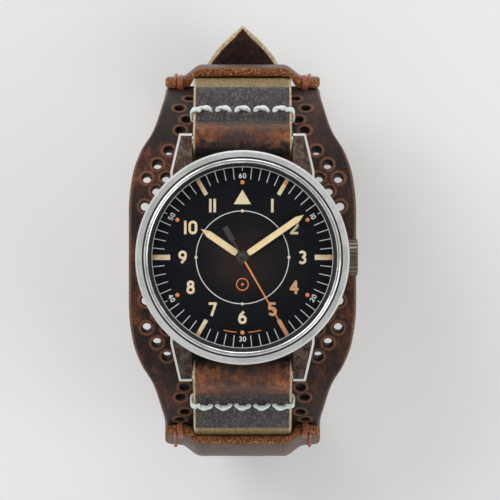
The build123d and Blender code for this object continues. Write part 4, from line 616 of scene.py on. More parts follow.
def pad_leather_look():
    """The cuff pad: dark reddish brown, rubbed rust-coloured in patches; painted grey sheen and shade at its
    low ends, painted shade in its creases and holes, painted highlights on its hole rims.
    """
    look = Look("pad_leather", specular=0.24)
    blotch = look.mottle(0.085, 5.0, 0.6)
    streak = look.mottle(0.45, 5.0, 0.7, (1.0, 0.4, 0.4))
    fine = look.mottle(2.6, 4.0, 0.75)
    wear = blotch * 0.34 + streak * 0.34 + fine * 0.16 + look.range(look.size(0), 13.0, 22.0) * 0.14
    tone = look.ramp(wear, [(0.10, (18, 10, 8)), (0.32, (32, 18, 14)), (0.52, (50, 27, 20)),
                            (0.72, (86, 45, 29)), (0.9, (124, 73, 47))])
    # Painted grey sheen and shade, mixed in lower down where the pad's ends bend away.
    grey = look.ramp(streak * 0.5 + blotch * 0.3 + fine * 0.2,
                     [(0.1, (20, 14, 12)), (0.5, (35, 26, 22)), (0.9, (62, 48, 41))])
    low = look.range(look.axis(2), pad_top - 7.0, pad_top - 22.0)
    tone = look.mix(low * 0.75, tone, grey)
    # Crease lines: pressed into the relief, and painted darker as shade.
    shaded_crease = look.lines(0.5, 0.02) * 0.5 + look.lines(1.3, 0.016) * 0.35
    tone = look.mix(shaded_crease, tone, (30, 19, 17))
    tone = look.mix(look.lines(0.3, 0.004, (2.4, 0.3, 0.3)) * 0.35, tone, (140, 102, 78))
    # Paler on the raised rims round the holes: a painted highlight.
    tone = look.mix(look.mark("rim") * 0.5, tone, (146, 96, 68))
    edge = look.range(look.mark("edge"), 0.3, 0.95) * look.range(fine, 0.0, 1.0, 0.25, 0.75)
    tone = look.mix(edge, tone, (148, 110, 84))
    flesh = look.ramp(look.mottle(2.4), [(0.0, (122, 90, 64)), (1.0, (154, 118, 88))])
    tone = look.mix(look.mark("flesh"), tone, flesh)
    # The holes' walls and nearest edges are painted near black as shade.
    look.set("Base Color", look.mix(look.mark("hole"), tone, (22, 14, 12)))
    look.set("Roughness", look.range(wear, 0.2, 0.9, 0.34, 0.52) + fine * 0.1)
    return look.bump(hide_relief(look, 1.1, 4.0, 2.6) + shaded_crease * -0.8, 0.12)


def flap_warmth(look, along):
    """How far the flap is orange: between two places along it, which differ on its two sides."""
    share = look.range(look.axis(1), -1.0, 1.0)
    near, far = (six + share * (twelve - six) for six, twelve in zip(flap_patch["6"], flap_patch["12"]))
    return look.range(along - near, -1.6, 2.2) * look.range(far - along, -0.9, 1.3)


def flap_tone(look, along, speck, suede):
    """The flap: painted grey sheen, painted black shadow by the case, and orange-brown between, mostly by
    its two edges.
    """
    streak = look.mottle(1.0, 4.0, 0.7, (1.0, 0.5, 0.5))
    hair = look.mottle(2.4, 3.0, 0.7, (1.5, 0.4, 0.4))
    # A painted grey sheen, speckled and streaked.
    grey = look.ramp((speck + hair) * 0.5, [(0.0, (18, 14, 13)), (0.45, (52, 44, 41)),
                                            (0.72, (86, 77, 72)), (1.0, (166, 160, 154))])
    grey = look.mix(streak * 0.3, grey, (44, 35, 34))
    warm = look.ramp(streak, [(0.0, (104, 52, 25)), (0.5, (150, 80, 37)), (1.0, (184, 108, 54))])
    smear = look.mottle(0.45, 5.0, 0.7, (0.6, 1.0, 1.0))
    dull = 1.0 + smear * 0.45 - look.range(look.size(0), 2.5, 8.5, 0.45, 1.0)
    warm = look.mix(dull, warm, (66, 44, 36))
    warm = look.mix(hair * 0.22, warm, (52, 30, 22))
    # A painted shadow near the case, from about 20 mm along the flap.
    dark = look.ramp(streak, [(0.0, (13, 11, 11)), (1.0, (44, 32, 28))])
    flap = look.mix(look.range(along, 20.0, 22.5), grey, dark)
    flap = look.mix(flap_warmth(look, along), flap, warm)
    skive = look.range(look.mark("along"), *skive_end) * look.range(look.axis(1), 1.0, -1.0)
    return look.mix(skive, flap, suede)


def strap_tone(look, speck, hide, suede):
    """The strap past its fold: dark brown, with bare pale leather between the flap and the bridge."""
    body = look.ramp(hide, [(0.0, (38, 25, 21)), (0.5, (54, 36, 29)), (1.0, (80, 55, 43))])
    body = look.mix(speck * 0.25, body, (28, 20, 18))
    start = look.range(look.axis(1), -1.0, 1.0, bare_start["6"], bare_start["12"])
    past = look.mark("along") - start
    bare = look.range(past, -1.0, -0.6) * look.range(past, bare_length, bare_length - 0.6)
    return look.mix(bare, body, suede)


def strap_leather_look():
    """The straps: waxed leather, with a paler lining and cut edges."""
    look = Look("strap_leather", specular=0.35)
    along = look.mark("along") + look.range(look.noise(0.8, 3.0), 0.3, 0.7, -0.8, 0.8)
    speck = look.mottle(2.8, 5.0, 0.85, low=0.40, high=0.64)
    hide = look.mottle(0.5, 5.0, 0.7, (1, 0.5, 0.5), 0.34, 0.68)
    suede = look.ramp(look.mottle(3.0, 4.0, 0.75), [(0.0, (104, 84, 54)), (0.5, (148, 126, 88)),
                                                    (1.0, (196, 176, 136))])
    flesh = look.ramp(look.mottle(0.9), [(0.0, (42, 22, 16)), (0.5, (56, 31, 23)), (1.0, (76, 44, 32))])
    raw = look.ramp(look.mottle(1.3, 4.0, 0.7), [(0.0, (172, 142, 108)), (0.4, (192, 166, 130)),
                                                 (1.0, (212, 192, 160))])
    edge = look.mark("edge")
    tone = look.mix(look.range(along, 27.0, 29.0), flap_tone(look, along, speck, suede),
                    strap_tone(look, speck, hide, suede))
    tone = look.mix(look.mark("flesh"), tone, flesh)
    tone = look.mix(look.range(edge, 0.35, 0.8), tone, raw)
    # The holes' walls and nearest edges are painted dark as shade.
    look.set("Base Color", look.mix(look.mark("hole"), tone, (60, 40, 30)))
    look.set("Roughness", look.range(hide, 0.0, 1.0, 0.28, 0.42) + (edge + look.mark("flesh")) * 0.3)
    relief = hide_relief(look, 1.4, 4.5, 3.0) + speck * 0.8
    return look.bump(relief * look.range(edge, 0.0, 1.0, 1.0, 0.4), 0.09)


def bridge_leather_look():
    """The bridges: thick grey-brown leather with fibrous rust-coloured cut edges."""
    look = Look("bridge_leather", specular=0.3)
    streak = look.mottle(0.4, 5.0, 0.7, (1.0, 1.6, 1.6))
    grain = look.ramp(streak, [(0.0, (50, 36, 29)), (0.5, (70, 53, 44)), (1.0, (98, 78, 66))])
    grain = look.mix(look.mottle(0.12, 3.0) * 0.45, grain, (116, 78, 56))
    grain = look.mix(look.mottle(2.4, 4.0, 0.75) * 0.25, grain, (62, 48, 42))
    fibre = look.mottle(2.5, 6.0, 0.85, low=0.42, high=0.60)
    cut = look.ramp(fibre, [(0.0, (112, 54, 24)), (0.3, (174, 92, 42)), (0.65, (216, 130, 68)),
                            (1.0, (240, 186, 126))])
    edge = look.range(look.mark("edge"), 0.25, 0.6)
    look.set("Base Color", look.mix(edge, look.mix(look.mark("flesh"), grain, cut), cut))
    look.set("Roughness", look.range(streak, 0.0, 1.0, 0.30, 0.42) + edge * 0.45)
    return look.bump(hide_relief(look, 1.2, 4.0, 2.6) + fibre * edge * 3.0, 0.12)


def thread_look(name, pale, dark):
    """Waxed thread with fine fibres."""
    look = Look(name, roughness=0.45)
    fibre = look.mottle(2.6, 5.0, 0.75)
    look.set("Base Color", look.ramp(fibre, [(0.0, dark), (0.3, pale), (1.0, pale)]))
    look.set("Sheen Weight", 0.3)
    return look.bump(look.noise(11.0, 3.0), 0.03)


# Meshes


def build(name, points, faces, look, body, stands_for=(), marks=None, sharp=40.0):
    """A clean closed mesh as a piece that rides on a body."""
    mesh = bpy.data.meshes.new(name)
    mesh.from_pydata([Vector(point) * MM for point in points], [], faces)
    for mark, values in (marks or {}).items():
        layer = mesh.attributes.new(mark, "FLOAT", "POINT")
        layer.data.foreach_set("value", np.array(values, np.float32))
    shape = bmesh.new()
    shape.from_mesh(mesh)
    loose = [vert for vert in shape.verts if not vert.link_faces]
    bmesh.ops.delete(shape, geom=loose, context="VERTS")
    bmesh.ops.recalc_face_normals(shape, faces=shape.faces)
    shape.to_mesh(mesh)
    shape.free()
    mesh.shade_smooth()
    mesh.set_sharp_from_angle(angle=radians(sharp))
    mesh.materials.append(look.material)
    piece = bpy.data.objects.new(name, mesh)
    bpy.context.scene.collection.objects.link(piece)
    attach(piece, body)
    if stands_for:
        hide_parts(*stands_for)
    return piece


def inside(polygon, places):
    """Which places lie inside a polygon."""
    x, y = places[:, 0], places[:, 1]
    found = np.zeros(len(places), bool)
    last = polygon[-1]
    for corner in polygon:
        crosses = (corner[1] > y) != (last[1] > y)
        rise = last[1] - corner[1] if last[1] != corner[1] else 1.0
        edge_x = (last[0] - corner[0]) * (y - corner[1]) / rise + corner[0]
        found ^= crosses & (x < edge_x)
        last = corner
    return found


def triangulate(points, edges, keep):
    """A flat mesh on points and edges: its places, its kept triangles and each place's first source."""
    made = delaunay_2d_cdt([Vector(point) for point in points], edges, [], 0, 1e-5)
    places = np.array([vert[:] for vert in made[0]])
    faces = np.array([face[:] for face in made[2]])
    faces = faces[keep(places[faces].mean(axis=1))]
    sources = [origin[0] if origin else -1 for origin in made[3]]
    return places, faces, sources


def thickened(faces, count):
    """The faces of a closed slab on a flat mesh: its outer face, its inner face and its rim."""
    rims = {(face[i], face[(i + 1) % 3]) for face in faces.tolist() for i in range(3)}
    rims = [(a, b) for a, b in rims if (b, a) not in rims]
    return (faces.tolist() + [[a + count, c + count, b + count] for a, b, c in faces.tolist()]
            + [[b, a, a + count, b + count] for a, b in rims])


def loop_edges(start, count):
    """The edges that close a loop of points."""
    return [(start + index, start + (index + 1) % count) for index in range(count)]


def tube_faces(rings, count, start=0):
    """The faces between rings of points, each of as many points."""
    return [[start + ring * count + corner, start + ring * count + (corner + 1) % count,
             start + (ring + 1) * count + (corner + 1) % count, start + (ring + 1) * count + corner]
            for ring in range(rings - 1) for corner in range(count)]


def gathered(strands):
    """Several strands as one list of points and faces."""
    points, faces = [], []
    for made, more in strands:
        faces += [[corner + len(points) for corner in face] for face in more]
        points += made
    return points, faces


def round_of(x, y, radius, count):
    """Places on a circle."""
    return [(x + radius * cos(2 * pi * k / count), y + radius * sin(2 * pi * k / count))
            for k in range(count)]


# Lines of the loop in the YZ plane


Run = namedtuple("Run", "y z heading length turn")


def walk(start, heading, steps):
    """Straights and arcs laid end to end. A step is a length and its turn in degrees toward the wrist."""
    runs = []
    y, z = start
    for length, turn in steps:
        runs.append(Run(y, z, heading, length, turn))
        y, z, heading = spot(runs[-1], 1)
    return runs


def spot(run, share, out=0.0):
    """The place and heading at a share of a run, a distance out from its line."""
    y, z, heading, length, turn = run
    now = heading + share * turn
    if turn:
        radius = length / radians(turn)
        y += radius * (sin(radians(now)) - sin(radians(heading)))
        z += radius * (cos(radians(now)) - cos(radians(heading)))
    else:
        y += share * length * cos(radians(now))
        z -= share * length * sin(radians(now))
    return y + out * sin(radians(now)), z + out * cos(radians(now)), now


def at(line, distance, out=0.0):
    """The place at a distance along a walk, and a distance out from it."""
    for run in line[:-1]:
        if distance <= run.length:
            break
        distance -= run.length
    else:
        run = line[-1]
    return spot(run, distance / run.length, out)[:2]


def arc_step(radius, turn):
    """A step that turns at a radius."""
    return radius * radians(abs(turn)), turn


def length_of(line):
    """The length of a walk."""
    return sum(run.length for run in line)


def pad_walk(curve, turn, end_curve):
    """The pad's outer face from under the dial's centre to its end."""
    end_turn = degrees(bridge_strip / end_curve)
    return walk((0, pad_top), 0, [(pad_flat, 0), arc_step(curve, turn), arc_step(end_curve, end_turn)])


def strap_walk(side, drop, rest):
    """The strap's inner face from its fold round the spring bar, over the pad, and round to the bottom."""
    curve, turn, end_curve = pad_bends[side]
    seat = curve + soft_gap
    across, up = bar[0] - pad_flat, bar[1] - (pad_top - curve)
    apart = hypot(across, up)
    first = degrees(atan2(across, up)) + degrees(acos((seat + fold_out) / apart))
    start = (bar[0] - fold_out * sin(radians(first)), bar[1] - fold_out * cos(radians(first)))
    straight = sqrt(apart**2 - (seat + fold_out) ** 2)
    end_turn = degrees(bridge_strip / end_curve)
    steps = [(straight, 0), arc_step(seat, turn - first), arc_step(end_curve + soft_gap, end_turn)]
    z, now = spot(walk(start, first, steps)[-1], 1)[1:]
    corner = (z - drop) / (1 + cos(radians(now)))
    return walk(start, first, steps + [arc_step(corner, 180 - now)] + rest)


def short_walk():
    """The short strap's line, to over the buckle's bar."""
    start = spot(strap_walk("12", strap_bottom, [])[-1], 1)[0]
    return strap_walk("12", strap_bottom, [(start - buckle_bar_y, 0)])


def long_walk(short):
    """The long strap's line, round the bottom, through the buckle and up to its tip."""
    bottom_12 = spot(short[-2], 1)[0]
    drop = strap_bottom - tail_lift
    bottom_6 = spot(strap_walk("6", drop, [])[-1], 1)[0]
    slope = radians(tail_rise_turn)
    rise_arcs = 2 * tail_rise_curve * (1 - cos(slope))
    straight = (tail_in - tail_lift - rise_arcs) / sin(slope)
    run = 2 * tail_rise_curve * sin(slope) + straight * cos(slope)
    rise_end = -buckle_bar_y + 2 * buckle_hole
    tail_corner = short[-2].length / radians(short[-2].turn) + tail_in
    return strap_walk("6", drop, [(bottom_6 - rise_end - run, 0), arc_step(tail_rise_curve, -tail_rise_turn),
                                  (straight, 0), arc_step(tail_rise_curve, tail_rise_turn),
                                  (rise_end + bottom_12, 0), arc_step(tail_corner, tail_wrap_turn),
                                  (tail_straight, 0)])


pad_lines = {side: pad_walk(*bend) for side, bend in pad_bends.items()}
short_line = short_walk()
long_line = long_walk(short_line)


# Leather sheets: a flat cut on (across, along) places, laid on an outer and an inner face


def smooth(value):
    """A share from 0 to 1 that starts and ends gently."""
    value = min(1.0, max(0.0, value))
    return value * value * (3 - 2 * value)


def blend(first, second, share):
    """A number or place between two."""
    if isinstance(first, tuple):
        return tuple(blend(a, b, share) for a, b in zip(first, second))
    return first + (second - first) * share


def spaced(start, end, step):
    """Numbers from start to end, at most about a step apart."""
    count = max(1, round(abs(end - start) / step))
    return [start + (end - start) * index / count for index in range(count + 1)]


def cut_outline(half, stops, step):
    """The outline of a cut that is as wide on both sides, from its half width along it."""
    right = [(half(stop), stop) for stop in stops]
    far = [(x, stops[-1]) for x in spaced(half(stops[-1]), -half(stops[-1]), step)[1:-1]]
    left = [(-x, stop) for x, stop in reversed(right)]
    near = [(x, stops[0]) for x in spaced(-half(stops[0]), half(stops[0]), step)[1:-1]]
    return right + far + left + near


def inset(outline, distance, half):
    """An outline moved inward, less where the cut is narrow."""
    moved = []
    count = len(outline)
    for index, (x, stop) in enumerate(outline):
        before, after = outline[index - 1], outline[(index + 1) % count]
        run_x, run_s = after[0] - before[0], after[1] - before[1]
        run = hypot(run_x, run_s)
        step = min(distance, distance * half(stop) / narrow_cut)
        moved.append((x - step * run_s / run, stop + step * run_x / run))
    return moved


def ring_of(x, along, radius, length=0.0):
    """A round hole's outline, or a slot's where it has a length."""
    count = max(least_hole_corners, round(radius * hole_corners_per_mm))
    places = []
    for index in range(count):
        angle = 2 * pi * (index + 0.5) / count
        shift = (length / 2 - radius) * (1 if sin(angle) > 0 else -1) if length else 0.0
        places.append((x + radius * cos(angle), along + radius * sin(angle) + shift))
    return places


def cut_rings(outline, half, holes, edges, rims):
    """Rings of places along a cut's edge and its holes, each with its share, edge, lift, rim and hole."""
    rings = [(inset(outline, distance, half), (share, edge, 0.0, 0.0, 0.0))
             for distance, share, edge in edges]
    for x, along, radius, length in holes:
        for grow, share, hole, lift in rims:
            ring = ring_of(x, along, radius + grow, length + 2 * grow if length else 0.0)
            rings.append((ring, (share, 0.0, lift, float(lift > 0), hole)))
    return rings


def grid_places(half, stops, holes, step, inner, clear):
    """Places on a grid inside a cut and clear of its holes."""
    places = np.array([(x, stop) for stop in stops[1:-1]
                       for x in spaced(-half(stop), half(stop), step)[1:-1]])
    kept = inside(inner, places)
    for x, along, radius, length in holes:
        ahead = np.maximum(np.abs(places[:, 1] - along) - max(0.0, length / 2 - radius), 0.0)
        kept &= np.hypot(places[:, 0] - x, ahead) > radius + clear + step * hole_room
    return [tuple(place) for place in places[kept]]


def flat_cut(half, stops, holes, step, edges, rims):
    """A cut as a flat mesh: its places, its triangles and what each place carries."""
    outline = cut_outline(half, stops, step)
    points, links, facts = [], [], []
    for ring, fact in cut_rings(outline, half, holes, edges, rims):
        links += loop_edges(len(points), len(ring))
        points += ring
        facts += [fact] * len(ring)
    inner = inset(outline, edges[-1][0] + step * edge_room, half)
    grid = grid_places(half, stops, holes, step, inner, rims[-1][0])
    plain = (0.0,) * 5
    facts += [plain] * len(grid)

    def keep(middles):
        wanted = inside(outline, middles)
        for hole in holes:
            wanted &= ~inside(ring_of(*hole), middles)
        return wanted

    flat, faces, sources = triangulate(points + grid, links, keep)
    return flat.tolist(), faces, [facts[source] if source >= 0 else plain for source in sources]


def sheet(name, half, stops, holes, surface, look, node, step=cut_step, edges=edge_profile,
          rims=hole_profile, wave=0.05, wave_length=7.0, ragged=0.0, lining=lambda along: (0.0, 1.0)):
    """A leather sheet from its cut, its holes and the two faces that it is laid on."""
    flat, faces, facts = flat_cut(half, stops, holes, step, edges, rims)
    outer, under = [], []
    for (x, along), fact in zip(flat, facts):
        share, lift = fact[0], fact[2]
        top, low = surface(x, along)
        thick = (top - low).length
        out = (top - low) / thick
        swell = wave * noise.noise(Vector((x / wave_length, along / wave_length, wave_length)))
        grain = Vector((x * ragged_scale, along * ragged_scale, ragged_layer))
        rough = ragged * noise.noise(grain) * (share > 0)
        outer.append(top + out * (swell - share * thick + lift + rough))
        under.append(low + out * (swell + share * thick + rough))
    marks = {mark: [fact[index] for fact in facts] * 2
             for mark, index in (("edge", 1), ("rim", 3), ("hole", 4))}
    marks["along"] = [along for x, along in flat] * 2
    marks["flesh"] = [lining(along)[face] for face in (0, 1) for x, along in flat]
    return build(name, outer + under, thickened(faces, len(flat)), look, "watch", (node,), marks,
                 sharp=60.0)


def corner_cut(near, radius):
    """How much a rounded corner takes from a half width, near the end of a cut."""
    return radius - sqrt(max(0.0, radius**2 - (radius - near) ** 2)) if near < radius else 0.0


def rounded(half, start, end, radius):
    """A half width whose corners are rounded at both ends of the cut."""
    return lambda along: half(along) - corner_cut(min(along - start, end - along), radius)


def cut_stops(start, end, step, radius, fine=()):
    """Places along a cut, closer together at its rounded ends and in its fine stretches."""
    ends = spaced(start, start + radius, radius / corner_rows)[:-1]
    stops = list(ends)
    now = start + radius
    while now < end - radius - step / 2:
        stops.append(now)
        near = any(low <= now <= high for low, high in fine)
        now += step * fine_share if near else step
    return stops + [end - (stop - start) for stop in reversed(ends)]


# The cuff pad


def pad_place(along, out):
    """A place on the pad, a distance out from its outer face: along is negative on the 6 side."""
    side = "12" if along >= 0 else "6"
    y, z = at(pad_lines[side], abs(along), out)
    return sides[side] * y, z


def pad_half(y):
    """The pad's half width at a distance from the middle, on a smooth line through its outline."""
    taper = pad_half_width - pad_end_half_width
    knots = [(share_y * pad_half_width, pad_end_half_width + share * taper)
             for share_y, share in pad_outline_shares]
    if y <= knots[0][0]:
        return knots[0][1]
    if y >= knots[-1][0]:
        return knots[-1][1]
    slopes = [0.0] + [(after[1] - before[1]) / (after[0] - before[0])
                      for before, after in zip(knots, knots[2:])] + [0.0]
    index = max(i for i, knot in enumerate(knots) if knot[0] <= y)
    (y0, x0), (y1, x1) = knots[index], knots[index + 1]
    run = y1 - y0
    t = (y - y0) / run
    return ((2 * t**3 - 3 * t**2 + 1) * x0 + (t**3 - 2 * t**2 + t) * run * slopes[index]
            + (3 * t**2 - 2 * t**3) * x1 + (t**3 - t**2) * run * slopes[index + 1])


def pad_holes():
    """The pad's punched holes."""
    holes = []
    for side, shares in pad_hole_shares.items():
        curve = pad_bends[side][0]
        for share_x, share_y in shares:
            y = share_y * pad_half_width
            along = pad_flat + curve * asin((y - pad_flat) / curve) if y > pad_flat else y
            for side_x in (-1, 1):
                holes.append((side_x * share_x * pad_half_width, sides[side] * along, pad_hole_radius, 0.0))
    return holes


def make_pad(look):
    """The wide cuff pad with its punched holes."""
    end_12, end_6 = length_of(pad_lines["12"]), length_of(pad_lines["6"])
    half = rounded(lambda along: pad_half(abs(pad_place(along, 0)[0])), -end_6, end_12, pad_corner)

    def surface(x, along):
        dip = pad_rim_dip * smooth((abs(x) - half(along) + pad_rim_run) / pad_rim_run)
        return (Vector((x, *pad_place(along, -dip - pad_face_dip))),
                Vector((x, *pad_place(along, -pad_leather))))

    return sheet("pad", half, cut_stops(-end_6, end_12, cut_step, pad_corner), pad_holes(), surface, look,
                 "leather_pad", edges=pad_edge, rims=pad_hole_profile, wave_length=5.0)


# The straps


def circle(centre, radius, angle):
    """A place on a circle in the YZ plane, with its angle from straight up toward +Y."""
    return centre[0] + radius * sin(radians(angle)), centre[1] + radius * cos(radians(angle))


def bar_stretches(line):
    """The flap over the strap and the fold round the spring bar, as lengths with their two faces."""
    lean = line[0].heading + fold_lean

    def flap(distance):
        thick = flap_leather * (flap_end_share + (1 - flap_end_share) * smooth(distance / flap_skive))
        where = flap_length - distance
        return at(line, where, leather + thick), at(line, where, leather + seat_gap)

    def wedge(distance):
        share = distance / flap_join
        return (blend(at(line, flap_join, strap_face), circle(bar, fold_out, lean), share),
                blend(at(line, flap_join, leather + seat_gap), circle(bar, bar_hole, lean), share))

    def fold(distance):
        angle = lean - (180 + fold_lean) * distance / fold_length
        return circle(bar, fold_out, angle), circle(bar, bar_hole, angle)

    fold_length = (bar_hole + leather / 2) * radians(180 + fold_lean)
    return [(flap_length - flap_join, flap), (flap_join, wedge), (fold_length, fold)]


def laid(stretches, side):
    """The two faces of a strap at a place on its cut, from its stretches."""
    def surface(x, along):
        for length, faces in stretches[:-1]:
            if along <= length:
                break
            along -= length
        else:
            faces = stretches[-1][1]
        outer, inner = faces(max(0.0, along))
        return Vector((x, side * outer[0], outer[1])), Vector((x, side * inner[0], inner[1]))
    return surface


def strap_sheet(name, half, stops, holes, stretches, side, look, node):
    """A strap's sheet, whose grain turns inward after its fold."""
    turned = sum(length for length, faces in stretches[:3]) + lining_start
    return sheet(name, half, stops, holes, laid(stretches, side), look, node,
                 lining=lambda along: (float(along > turned), 0.0))


def buckle_stretches(line, base):
    """The short strap's run, its skived fold round the buckle's bar and its flap, with their faces."""
    centre = (buckle_bar_y, strap_bottom - buckle_bar_out)

    def body(distance):
        thick = blend(skived, leather, smooth((base - distance) / skive_run))
        return at(line, distance, 0.0), at(line, distance, thick - seat_gap)

    def fold(distance):
        angle = -180 * distance / fold_length
        return circle(centre, buckle_bar_out, angle), circle(centre, buckle_hole, angle)

    def flap(distance):
        y = buckle_bar_y + distance
        low = blend(buckle_fold_out - skived, leather, smooth(distance / skive_run))
        thin = smooth((buckle_flap_end + buckle_flap_taper - y) / buckle_flap_taper)
        high = blend(low + buckle_flap_edge, buckle_fold_out, thin)
        return (y, strap_bottom - high), (y, strap_bottom - low)

    fold_length = (buckle_hole + skived / 2) * pi
    back = buckle_flap_end + buckle_flap_taper - buckle_bar_y
    return [(base, body), (fold_length, fold), (back, flap)]


def make_short_strap(look):
    """The short strap, folded round the spring bar and skived round the buckle's bar."""
    stretches = bar_stretches(short_line)
    base_start = sum(length for length, faces in stretches)
    stretches += buckle_stretches(short_line, length_of(short_line))
    base, fold_length, back = (length for length, faces in stretches[3:])
    fold_start = base_start + base
    end = fold_start + fold_length + back
    half = rounded(lambda along: strap_half, 0.0, end, strap_corner)
    holes = [(0.0, fold_start + fold_length / 2, tongue_notch, fold_length + 2 * tongue_notch_reach)]
    fine = ((flap_length - flap_join, base_start + 1.0), (fold_start - 1.0, fold_start + fold_length + 1.0))
    return strap_sheet("short_strap", half, cut_stops(0.0, end, cut_step, strap_corner, fine), holes,
                       stretches, 1, look, "buckle_strap")


def tip_half(distance):
    """The long strap's half width at a distance from its tip: an arc on each side."""
    x1, y1 = tip_waist_share * strap_half, tip_waist_length_share * tip_length
    x2, y2 = strap_half, tip_length
    turn = 2 * (x1 * y2 - x2 * y1)
    centre_x = (y2 * (x1**2 + y1**2) - y1 * (x2**2 + y2**2)) / turn
    centre_y = (x1 * (x2**2 + y2**2) - x2 * (x1**2 + y1**2)) / turn
    radius = hypot(centre_x, centre_y)
    reach = sqrt(max(0.0, radius**2 - (distance - centre_y) ** 2))
    return max(tip_least, centre_x + reach if centre_x < 0 else centre_x - reach)


def tongue_holes(base_start):
    """The long strap's slot under the tongue and its round holes."""
    through_buckle = long_line[-3]
    bottom = base_start + length_of(long_line[:-3])
    middle = buckle_bar_y + tongue_hole_first
    holes = [(0.0, bottom + middle + through_buckle.y, tongue_hole_radius, tongue_hole_length)]
    for hole in range(1, tongue_hole_count):
        y = middle + hole * tongue_hole_pitch + tongue_hole_first / 4
        holes.append((0.0, bottom + y + through_buckle.y, tongue_hole_radius, 0.0))
    return holes


def make_long_strap(look):
    """The long strap, folded round the spring bar, with its tongue holes and its pointed tip."""
    stretches = bar_stretches(long_line)
    base_start = sum(length for length, faces in stretches)
    base = length_of(long_line)
    end = base_start + base

    def body(distance):
        thin = tip_thin * (1 - smooth((base - distance) / tip_thin_run))
        return at(long_line, distance, thin), at(long_line, distance, leather - thin)

    def half(along):
        left = end - along
        return min(strap_half - corner_cut(along, strap_corner),
                   tip_half(left) if left < tip_length else strap_half)

    fine = ((flap_length - flap_join, base_start + 1.0),)
    stops = cut_stops(0.0, end - tip_margin, cut_step, strap_corner, fine)[:-corner_rows]
    stops += spaced(end - tip_fine, end, tip_step)
    return strap_sheet("long_strap", half, stops, tongue_holes(base_start), stretches + [(base, body)], -1,
                       look, "tip_strap")


# The bridges


def make_bridge(side, look):
    """A thick leather strip over a pad end: raised over the strap, with flat wings beside it."""
    line = pad_lines[side]
    under = leather + 2 * soft_gap + leather_gap
    top = under + bridge_leather - bridge_puff
    wing = bridge_leather + seat_gap
    start = length_of(line) - bridge_strip
    half = rounded(lambda along: pad_end_half_width - seat_gap, 0.0, bridge_strip, bridge_rounding)

    def surface(x, along):
        reach = abs(x)
        puff = bridge_puff * sin(pi * min(1.0, along / bridge_strip))
        high = (blend(wing, top, smooth((bridge_top_edge - reach) / bridge_top_slope))
                + puff * smooth((bridge_puff_edge - reach) / bridge_puff_slope))
        low = blend(seat_gap, under, smooth((bridge_low_edge - reach) / bridge_low_slope))
        places = (at(line, start + along, out) for out in (high, low))
        return tuple(Vector((x, sides[side] * y, z)) for y, z in places)

    node = "bridge_" + side
    return sheet(node + "_band", half, cut_stops(0.0, bridge_strip, bridge_step, bridge_corner), [],
                 surface, look, node, step=0.55, edges=bridge_edge, wave=0.08,
                 wave_length=3.5, ragged=0.12)


# Threads


def curve_through(points, step):
    """Places close together on a smooth line through points."""
    points = [np.array(point, float) for point in points]
    ends = [2 * points[0] - points[1]] + points + [2 * points[-1] - points[-2]]
    places = []
    for index in range(1, len(ends) - 2):
        before, first, second, after = ends[index - 1:index + 3]
        count = max(2, round(np.linalg.norm(second - first) / step))
        for t in np.arange(count) / count:
            places.append(0.5 * (2 * first + (second - before) * t
                                 + (2 * before - 5 * first + 4 * second - after) * t**2
                                 + (3 * first - before - 3 * second + after) * t**3))
    return places + [points[-1]]


def ply_points(places, tangents, across, phase, radius, swell):
    """The points of one ply of a twisted thread, thicker in the thread's middle by a share."""
    made = []
    normal = across / np.linalg.norm(across)
    travelled = 0.0
    last = len(places) - 1
    for index, (place, tangent) in enumerate(zip(places, tangents)):
        normal = normal - tangent * (normal @ tangent)
        normal /= np.linalg.norm(normal)
        other = np.cross(tangent, normal)
        travelled += np.linalg.norm(place - places[index - 1]) if index else 0.0
        angle = 2 * pi * (travelled * thread_turns + phase)
        thick = 1 + swell * sin(pi * index / last)
        centre = place + radius * ply_offset * thick * (cos(angle) * normal + sin(angle) * other)
        size = radius * ply_share * thick * ply_ends.get(min(index, last - index), 1.0)
        made += [centre + x * normal + y * other for x, y in round_of(0.0, 0.0, size, thread_corners)]
    return made


def twisted(points, radius, swell=0.0):
    """A twisted thread through points, as mesh points and faces."""
    places = curve_through(points, thread_step)
    count = thread_corners
    last = len(places) - 1
    tangents = [np.array(places[min(i + 1, last)]) - places[max(i - 1, 0)] for i in range(last + 1)]
    tangents = [tangent / np.linalg.norm(tangent) for tangent in tangents]
    across = np.cross(tangents[0], (0.31, 0.59, 0.74))
    faces = tube_faces(last + 1, count)
    faces += [list(range(count))[::-1], [last * count + corner for corner in range(count)]]
    return gathered((ply_points(places, tangents, across, ply / thread_plies, radius, swell), faces)
                    for ply in range(thread_plies))


def line_place(line, side):
    """Places by a line: across it, along it and out from it."""
    def place(x, along, out):
        y, z = at(line, along, out)
        return x, side * y, z
    return place


def make_strap_thread(side, line, look):
    """Five thick domed stitches across a strap, and the loops of thread round its edges."""
    place = line_place(line, sides[side])
    strands = []
    for stitch in range(stitch_count):
        middle = (stitch - (stitch_count - 1) / 2) * (stitch_length + stitch_gap)
        lean = stitch_lean * (-1) ** stitch
        path = [place(middle + x + x_lean * lean, thread_distance + along + along_lean * lean,
                      strap_face + out) for x, along, out, x_lean, along_lean in stitch_dome]
        strands.append(twisted(path, stitch_radius, stitch_swell))
    for side_x in (-1, 1):
        for shift in loop_places:
            strands.append(twisted([place(side_x * (strap_half + x), thread_distance + shift, out)
                                    for x, out in edge_loop], loop_radius, loop_swell))
    points, faces = gathered(strands)
    node = "strap_thread_" + side
    return build(node + "_stitches", points, faces, look, "watch", (node,))


